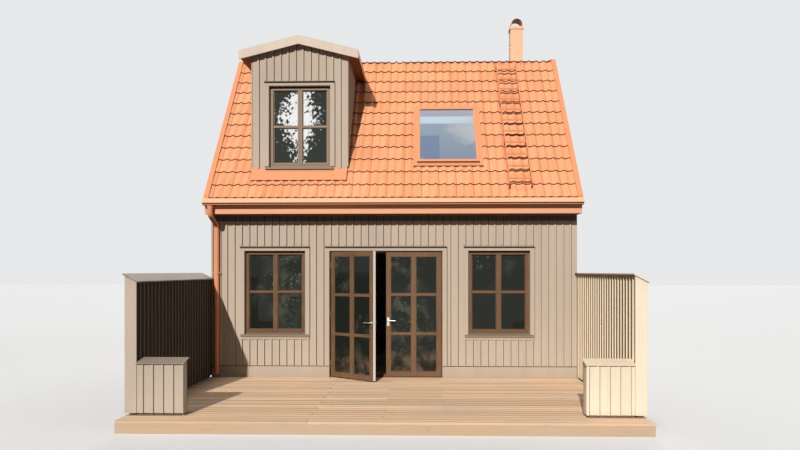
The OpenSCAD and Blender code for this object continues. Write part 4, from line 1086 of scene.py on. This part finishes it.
# %% Funnel, sleeves and clips
SLEEVE_R, SLEEVE_H = 0.0445, 0.026
FUNNEL_R, FUNNEL_H = 0.052, 0.060
FUNNEL_FIT = 0.001
CLIP_HEIGHTS = (0.91, 1.87)
CLIP_W = 0.022
EAR_OUT, EAR_W, EAR_T = 0.006, 0.016, 0.008


def sleeve(place, radius=SLEEVE_R, height=SLEEVE_H, top_radius=None):
    """A short round collar with eased edges."""
    made = primitive(bpy.ops.mesh.primitive_cone_add, vertices=24, radius1=radius,
                     radius2=top_radius or radius, depth=height, location=place)
    with edit_mode("SELECT"):
        bpy.ops.mesh.bevel(offset=0.002, segments=1, affect="EDGES")
    return smoothed(made, 30)


def clip_strap(middle, width, y0, y1, z):
    return board((middle - width / 2, y0, z), (middle + width / 2, y1, z + SLEEVE_H))


pipe_parts = [
    pipe,
    sleeve((pipe_x, -gutter_mid, gutter_low.z - FUNNEL_H / 2), PIPE_R + FUNNEL_FIT, FUNNEL_H, FUNNEL_R),
    sleeve((pipe_x, -gutter_mid, gutter_low.z - FUNNEL_H - SLEEVE_H / 2)),
    sleeve((pipe_x, wall_pipe_y, bend_end.z - SLEEVE_H)),
]
for z in CLIP_HEIGHTS:
    pipe_parts += [sleeve((pipe_x, wall_pipe_y, z + SLEEVE_H / 2)),
                   clip_strap(pipe_x, CLIP_W, wall_pipe_y, -clad_high.y, z)]
    pipe_parts += [clip_strap(pipe_x + ear * (SLEEVE_R + EAR_OUT), EAR_W, wall_pipe_y - EAR_T / 2,
                              wall_pipe_y + EAR_T / 2, z) for ear in (-1, 1)]
front_pipe = joined(pipe_parts, "downpipe_front", "tile_red_metal")
both_pipes = joined([front_pipe, copied(front_pipe, half_turn)], "swan_neck_pipes", "tile_red_metal")
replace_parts(both_pipes, "downpipes")

# %% [markdown]
# Half-round ridge tiles cover the joint between the two top slopes. Each one widens a little to one end
# and covers the narrow end of the next, as real ones do, so one tapered tile is made and laid in a row.
# Two of them are cut short at the stack.

# %% Ridge tiles
RIDGE_R = 0.110
RIDGE_TAPER = 0.006
RIDGE_TILE_T = 0.012
RIDGE_PITCH_NEAR = 0.36
RIDGE_LAP = 0.035
RIDGE_SINK = 0.012       # how far its edges reach below the plain solid's

ridge_low, ridge_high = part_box("ridge_tiles")
ridge_count = round((ridge_high.x - ridge_low.x) / RIDGE_PITCH_NEAR)
ridge_pitch = (ridge_high.x - ridge_low.x) / ridge_count
ridge_axis = ridge_high.z - RIDGE_R


def ridge_tile(length):
    """One tapered half-round tile from X = 0 to its length."""
    made = primitive(bpy.ops.mesh.primitive_cone_add, vertices=32, radius1=RIDGE_R,
                     radius2=RIDGE_R - RIDGE_TAPER, depth=length, end_fill_type="NOTHING",
                     location=(length / 2, 0.0, 0.0), rotation=(0, math.pi / 2, 0))
    cut(made, (0, 0, ridge_low.z - RIDGE_SINK - ridge_axis), (0, 0, -1))
    for face in made.data.polygons:
        face.select = abs(face.normal.z + 1) < 1e-3 or abs(abs(face.normal.x) - 1) < 1e-3
    with edit_mode(kind="FACE"):
        bpy.ops.mesh.delete(type="FACE")
    return smoothed(modified(made, "SOLIDIFY", thickness=RIDGE_TILE_T, offset=-1.0), 40)


def laid_ridge(start):
    return copied(one_ridge, moved(start, 0, ridge_axis))


one_ridge = ridge_tile(ridge_pitch + RIDGE_LAP)
starts = [ridge_low.x + i * ridge_pitch for i in range(ridge_count)]
at_stack = [x for x in starts if abs(x + ridge_pitch / 2 - stack_x) < stack_half + ridge_pitch / 2]
row = [laid_ridge(x) for x in starts if x not in at_stack]
for start, side in ((at_stack[0], 1), (at_stack[-1], -1)):
    row.append(laid_ridge(start))
    cut(row[-1], (stack_x - side * stack_half, 0, 0), (side, 0, 0))
discard(one_ridge)
ridge_row = joined(row, "ridge_row", "clay_tiles")
cut(ridge_row, (ridge_high.x, 0, 0), (1, 0, 0))
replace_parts(ridge_row, "ridge_tiles")

# %% [markdown]
# The screens beside the terrace are boarded walls too. A core stands for the boards, battens stand on both
# of its faces, and one wide board closes the end towards the garden. Beside each batten a wide dark strip
# is painted shade, the shadow that the batten throws along the screen. A set-back foot keeps the boards off
# the wet deck, and its dark colour is painted shade. The left screen's inner face stands in deep shade, so a
# thin dark lining and darker battens are laid there as painted shade. The top slopes, so every piece is
# first made with a level top, and the joined screen is then pressed to the slope that the plain solid has.

# %% Boarded screens
CORE_IN = 0.012          # from the outer faces to the boards behind the battens
# The wide dark strip beside each screen batten is painted shade: the batten's shadow.
SCREEN_BATTEN_SHADE_W = 0.078
FOOT_H, FOOT_IN = 0.033, 0.045
# How dark the set-back foot is painted: painted shade.
FOOT_PAINTED_SHADE = 0.8
SCREEN_BATTEN_SHADE, LOW_JOINT = 0.74, 0.72     # how dark the strips beside their battens are: painted shadow on the screens, joint and shadow on the low walls
# How dark the left screen's inner face is painted: painted shade.
INNER_PAINTED_SHADE = 0.78
INNER_T = 0.002

screen_battens = {side: jointed_batten(CORE_IN, SCREEN_BATTEN_SHADE_W, SCREEN_BATTEN_SHADE, side) for side in (-1, 1)}
low_batten = jointed_batten(CORE_IN, JOINT_W, LOW_JOINT)


def press_top(piece, level, node, axis, side):
    """Move the level top of a piece to the slope that a node has on one side of the terrace."""
    corners = [v.co for v in nodes[node].data.vertices if v.co.x * side > 0]
    ends = [min(c[axis] for c in corners), max(c[axis] for c in corners)]
    tops = [max(c.z for c in corners if abs(c[axis] - e) < NEAR) for e in ends]
    rise = (tops[1] - tops[0]) / (ends[1] - ends[0])
    for v in piece.data.vertices:
        if v.co.z > level - 0.01:
            v.co.z += tops[0] + rise * (v.co[axis] - ends[0]) - level


def plain_board(low, high, joint=0.0):
    return number(number(board(low, high), joint, "joint"), chance.random())


def boarded_screen(node, side, name):
    """The screen on one side of the terrace: side -1 is the left one."""
    low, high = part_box(node)
    foot = low.z + FOOT_H
    made = [plain_board((low.x + CORE_IN, low.y + CORE_IN, foot), (high.x - CORE_IN, high.y, high.z)),
            plain_board((low.x + FOOT_IN, low.y + FOOT_IN, low.z), (high.x - FOOT_IN, high.y, foot),
                        FOOT_PAINTED_SHADE),
            plain_board((low.x, low.y, foot), (high.x, low.y + CORE_IN, high.z))]
    for facing in (-1, 1):
        face = low.x + CORE_IN if facing < 0 else high.x - CORE_IN
        row, y = [], low.y + batten_pitch
        while y < high.y - BATTEN_W / 2:
            move = moved(face, y, foot) @ turned(facing * math.pi / 2)
            row.append(copied(screen_battens[facing], move, high.z - foot - 1.0))
            y += batten_pitch
        # The left screen's inner face: darker battens and a dark lining, painted shade.
        if side < 0 < facing:
            for piece in row:
                number(piece, INNER_PAINTED_SHADE, "joint")
            row.append(plain_board((face, low.y + CORE_IN, foot), (face + INNER_T, high.y, high.z), 1.0))
        made += row
    screen = joined(made, name, "screen_boards")
    press_top(screen, high.z, node, 0, side)
    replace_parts(screen, node)


boarded_screen("screen_left", -1, "boarded_screen_left")
boarded_screen("screen_right", 1, "boarded_screen_right")

# %% [markdown]
# The low walls in front of the screens are made in the same way, with battens towards the garden and the
# house. Their battens start at the free end, so that the cut board meets the screen.

# %% Low garden walls
END_BOARD_BACK = 0.036   # the free end's board starts behind the first batten


def low_wall(low, high):
    """The low wall between its free end, nearer the middle of the terrace, and a screen."""
    side = 1 if low.x > 0 else -1
    foot = low.z + FOOT_H
    free, joint_end = (low.x, high.x) if side > 0 else (high.x, low.x)
    made = [plain_board((free + side * CORE_IN, low.y + CORE_IN, foot),
                        (joint_end, high.y - CORE_IN, high.z)),
            plain_board((free + side * FOOT_IN, low.y + FOOT_IN, low.z), (joint_end, high.y - FOOT_IN, foot),
                        FOOT_PAINTED_SHADE),
            plain_board((free, low.y + END_BOARD_BACK, foot), (free + side * CORE_IN, high.y, high.z))]
    for i in range(int((high.x - low.x - BATTEN_W) / batten_pitch) + 1):
        x = free + side * (BATTEN_W / 2 + i * batten_pitch)
        for y, turn in ((low.y + CORE_IN, 0.0), (high.y - CORE_IN, math.pi)):
            made.append(copied(low_batten, moved(x, y, foot) @ turned(turn), high.z - foot - 1.0))
    wall = joined(made, "low_wall_part", "screen_boards")
    press_top(wall, high.z, "low_walls", 1, side)
    return wall


wall_parts = [low_wall(*box) for box in solids("low_walls")]
boarded_low_walls = joined(wall_parts, "boarded_low_walls", "screen_boards")
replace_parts(boarded_low_walls, "low_walls")
for pattern in (*screen_battens.values(), low_batten, batten):
    discard(pattern)

# %% [markdown]
# Thin shadow gaps tell the eye where one part ends and the next begins. Under each head flashing, beside
# each casing and over the plinth the shade of such a gap is painted, and the head and one side of every
# recess lie in deep shade, which is painted too. Each is a slim strip of painted shade laid on the surface
# behind it.

# %% Painted shadow strips
GAP_H, GAP_T = 0.019, 0.001
DRIP_H, DRIP_END = 0.012, 0.002
RECESS = (0.026, 0.012)          # how deep the shade is at the head and how wide at the side
DOOR_RECESS = (0.017, 0.009)     # the leaves swing clear of these


def strip(x0, x1, y, out, z0, z1):
    """A strip of painted shade from x0 to x1 and z0 to z1 that stands out from y."""
    return number(board((x0, y, z0), (x1, y + out, z1), STRIP_EASE), 1.0, "joint")


def outer_face(low, high):
    return low.y if low.y < 0 else high.y


shade_strips = []
for low, high in casings:
    way = -1 if low.y < 0 else 1
    shade_strips.append(strip(low.x, high.x, outer_face(low, high), way * GAP_T, high.z - GAP_H, high.z))
    wall, x = (high.y, high.x) if way < 0 else (low.y, low.x - JOINT_W)
    shade_strips.append(strip(x, x + JOINT_W, wall, 2 * way * GAP_T, low.z, high.z))
plinth_low, plinth_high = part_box("plinth_boards")
for face, out, door in ((plinth_low.y, -GAP_T, "door_frame"), (plinth_high.y, GAP_T, "rear_door")):
    door_low, door_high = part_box(door)
    for x0, x1 in ((clad_low.x, door_low.x - DRIP_END), (door_high.x + DRIP_END, clad_high.x)):
        shade_strips.append(strip(x0, x1, face, out, clad_low.z - DRIP_H, clad_low.z))
for node, (head, side) in (("window_frames", RECESS), ("door_frame", DOOR_RECESS)):
    for low, high in solids(node):
        way = -1 if low.y < 0 else 1
        face = outer_face(low, high)
        x = low.x if way < 0 else high.x - side
        shade_strips.append(strip(low.x, high.x, face, way * GAP_T, high.z - head, high.z))
        shade_strips.append(strip(x, x + side, face, way * GAP_T, low.z, high.z - head))
joined(shade_strips, "painted_shadow_strips", "painted_boards")

# %% [markdown]
# Every pane is held by a glazing bead, and every casement has a sash that stands a little proud of its
# frame. Both are picture frames: a plate is inset, its middle is deleted, and the ring that is left gets
# its thickness and eased edges. Panes of one size share one pattern.

# %% Picture frames
BEAD_W, BEAD_T = 0.013, 0.012
SASH_W, SASH_T = 0.028, 0.009
RING_EASE = 0.0025


def picture_frame(width, height, face, thick):
    """A ring round the origin in the XZ plane, its back at Y = 0 and its front towards -Y."""
    made = primitive(bpy.ops.mesh.primitive_plane_add, (width, height, 1.0), size=1.0,
                     rotation=(math.pi / 2, 0, 0))
    with edit_mode("SELECT", "FACE"):
        bpy.ops.mesh.inset(thickness=face, depth=0.0)
        bpy.ops.mesh.delete(type="FACE")
    modified(made, "SOLIDIFY", thickness=thick, offset=1.0)
    return modified(made, "BEVEL", width=RING_EASE, segments=1)


def framed(boxes, face_y, face, thick, grow=0.0):
    """Picture frames round boxes, standing on the planes that face_y gives for each."""
    patterns, made = {}, []
    for low, high in boxes:
        size = (round(high.x - low.x + 2 * grow, 4), round(high.z - low.z + 2 * grow, 4))
        if size not in patterns:
            patterns[size] = picture_frame(*size, face, thick)
        middle = (low + high) / 2
        turn = turned(0.0 if low.y < 0 else math.pi)
        made.append(copied(patterns[size], moved(middle.x, face_y(low, high), middle.z) @ turn))
    for pattern in patterns.values():
        discard(pattern)
    return made


panes = solids("window_glass")
by_column = {}
for low, high in panes:
    by_column.setdefault((round(low.x, 3), round(low.y, 3)), []).append((low, high))
casements = [(Vector(map(min, *[p[0] for p in group])), Vector(map(max, *[p[1] for p in group])))
             for group in by_column.values()]
frame_boxes = solids("window_frames")


def frame_face(low, high):
    """The outer face of the frame that a casement belongs to."""
    for f_low, f_high in frame_boxes:
        if f_low.x < low.x and f_high.x > high.x and f_low.y < low.y and f_high.y > high.y:
            return outer_face(f_low, f_high)
    return outer_face(low, high)


joined(framed(panes, outer_face, BEAD_W, BEAD_T), "window_beads", "brown_timber")
joined(framed(casements, frame_face, SASH_W, SASH_T, SASH_W), "window_sashes", "brown_timber")

# %% [markdown]
# The door has two leaves of the same size. The beads of the right leaf are made where it hangs, shut. The
# left leaf is ajar in the photograph, so its beads are copies that are moved to its place and turned about
# its hinge. Its free edge is painted white, as a bare edge that no weather reaches.

# %% Door leaves
LEAF_SHIFT = -0.9205     # from the right leaf to the left leaf when both are shut
LEFT_HINGE = Vector((-1.0355, -4.205, 0.0))
AJAR = math.radians(-36)
EDGE_X, EDGE_T = 0.7985, 0.0015      # the free edge, on the leaf before it is moved and turned
EDGE_FRONT, EDGE_BACK = -4.196, -4.140

swing = (Matrix.Translation(LEFT_HINGE) @ turned(AJAR) @ Matrix.Translation(-LEFT_HINGE)
         @ moved(LEAF_SHIFT, 0, 0))
door_panes = solids("door_glass_right")
beads = framed(door_panes, outer_face, BEAD_W, BEAD_T)
for (low, high), outside in zip(door_panes, list(beads)):
    middle = (low + high) / 2
    beads.append(copied(outside, Matrix.Translation(middle) @ half_turn @ Matrix.Translation(-middle)))
right_leaf_beads = joined(beads, "right_leaf_beads", "brown_timber", "right_door")
joined([copied(right_leaf_beads, swing)], "left_leaf_beads", "brown_timber", "left_door")

leaf_low, leaf_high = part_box("door_leaf_right")
edge = board((EDGE_X, EDGE_FRONT, leaf_low.z), (EDGE_X + EDGE_T, EDGE_BACK, leaf_high.z), 0.0004)
edge.data.transform(swing)
joined([number(edge, 1.0, "pale")], "left_leaf_edge", "wall_lining", "left_door")

# %% [markdown]
# The steps of the roof ladder are folded sheet, broad enough for a boot. Each tread rises a little towards
# the roof, so from the garden only its sunlit front edge shows, over its own shadow on the tiles.

# %% Ladder treads
TREAD_W, TREAD_T = 0.050, 0.026
TREAD_RISE = math.radians(12)
RUNG_FIRST = 0.127       # from the foot of the rails to the first rung
RUNG_PITCH = 0.287
RAIL_D, RAIL_W = 0.044, 0.014

slope_back = lower_slope.inverted()
rails = [slope_back @ v.co for v in nodes["roof_ladder"].data.vertices]
rail_low, rail_high = Vector(map(min, *rails)), Vector(map(max, *rails))
rungs = int((rail_high.y - rail_low.y - RUNG_FIRST) / RUNG_PITCH) + 1

tread = board((rail_low.x + RAIL_W / 2, -TREAD_W / 2, -TREAD_T / 2),
              (rail_high.x - RAIL_W / 2, TREAD_W / 2, TREAD_T / 2), 0.003)
treads = []
for i in range(rungs):
    place = lower_slope @ moved(0, rail_low.y + RUNG_FIRST + i * RUNG_PITCH, rail_high.z - RAIL_D / 2)
    treads.append(copied(tread, place @ turned(TREAD_RISE - LOWER_PITCH, "X")))
discard(tread)
joined(treads, "ladder_treads", "tile_red_metal")

# %% [markdown]
# The deck is laid with ribbed boards, parallel to the house. One board is a cube whose top is cut into
# strips, and every second strip is pressed down to a groove. Each course of the deck has two boards, which
# meet at a different place from the next course, as a carpenter lays them.

# %% Deck boards
BOARD_PITCH_NEAR = 0.125
BOARD_GAP = 0.006
GROOVES = 6
GROOVE_DEPTH = 0.002
MEETING_PLACES = (0.36, 0.62, 0.5)   # shares of the deck's width

deck_low, deck_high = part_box("deck_boards")
rows = round((deck_high.y - deck_low.y) / BOARD_PITCH_NEAR)
row_pitch = (deck_high.y - deck_low.y) / rows


def ribbed_board():
    """A board one metre long, with grooves along its top face."""
    width = row_pitch - BOARD_GAP
    strips = 2 * GROOVES + 1
    made = board((0.0, -width / 2, deck_low.z), (1.0, width / 2, deck_high.z), ease=0.0015)
    for i in range(1, strips):
        with edit_mode("SELECT"):
            bpy.ops.mesh.bisect(plane_co=(0, -width / 2 + i * width / strips, 0), plane_no=(0, 1, 0))
    for face in made.data.polygons:
        place = int((face.center.y + width / 2) / (width / strips))
        face.select = face.normal.z > 0.99 and place % 2 == 1
    with edit_mode(kind="FACE"):
        bpy.ops.mesh.extrude_region_move(TRANSFORM_OT_translate={"value": (0, 0, -GROOVE_DEPTH)})
    return made


plank_pattern = ribbed_board()
planks = []
for i in range(rows):
    y = deck_low.y + (i + 0.5) * row_pitch
    meet = deck_low.x + (deck_high.x - deck_low.x) * MEETING_PLACES[i % 3]
    for start, end in ((deck_low.x, meet - BOARD_GAP / 4), (meet + BOARD_GAP / 4, deck_high.x)):
        planks.append(copied(plank_pattern, moved(start, y, 0), end - start - 1.0, axis=0))
discard(plank_pattern)
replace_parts(joined(planks, "deck_planks", "deck_timber"), "deck_boards")
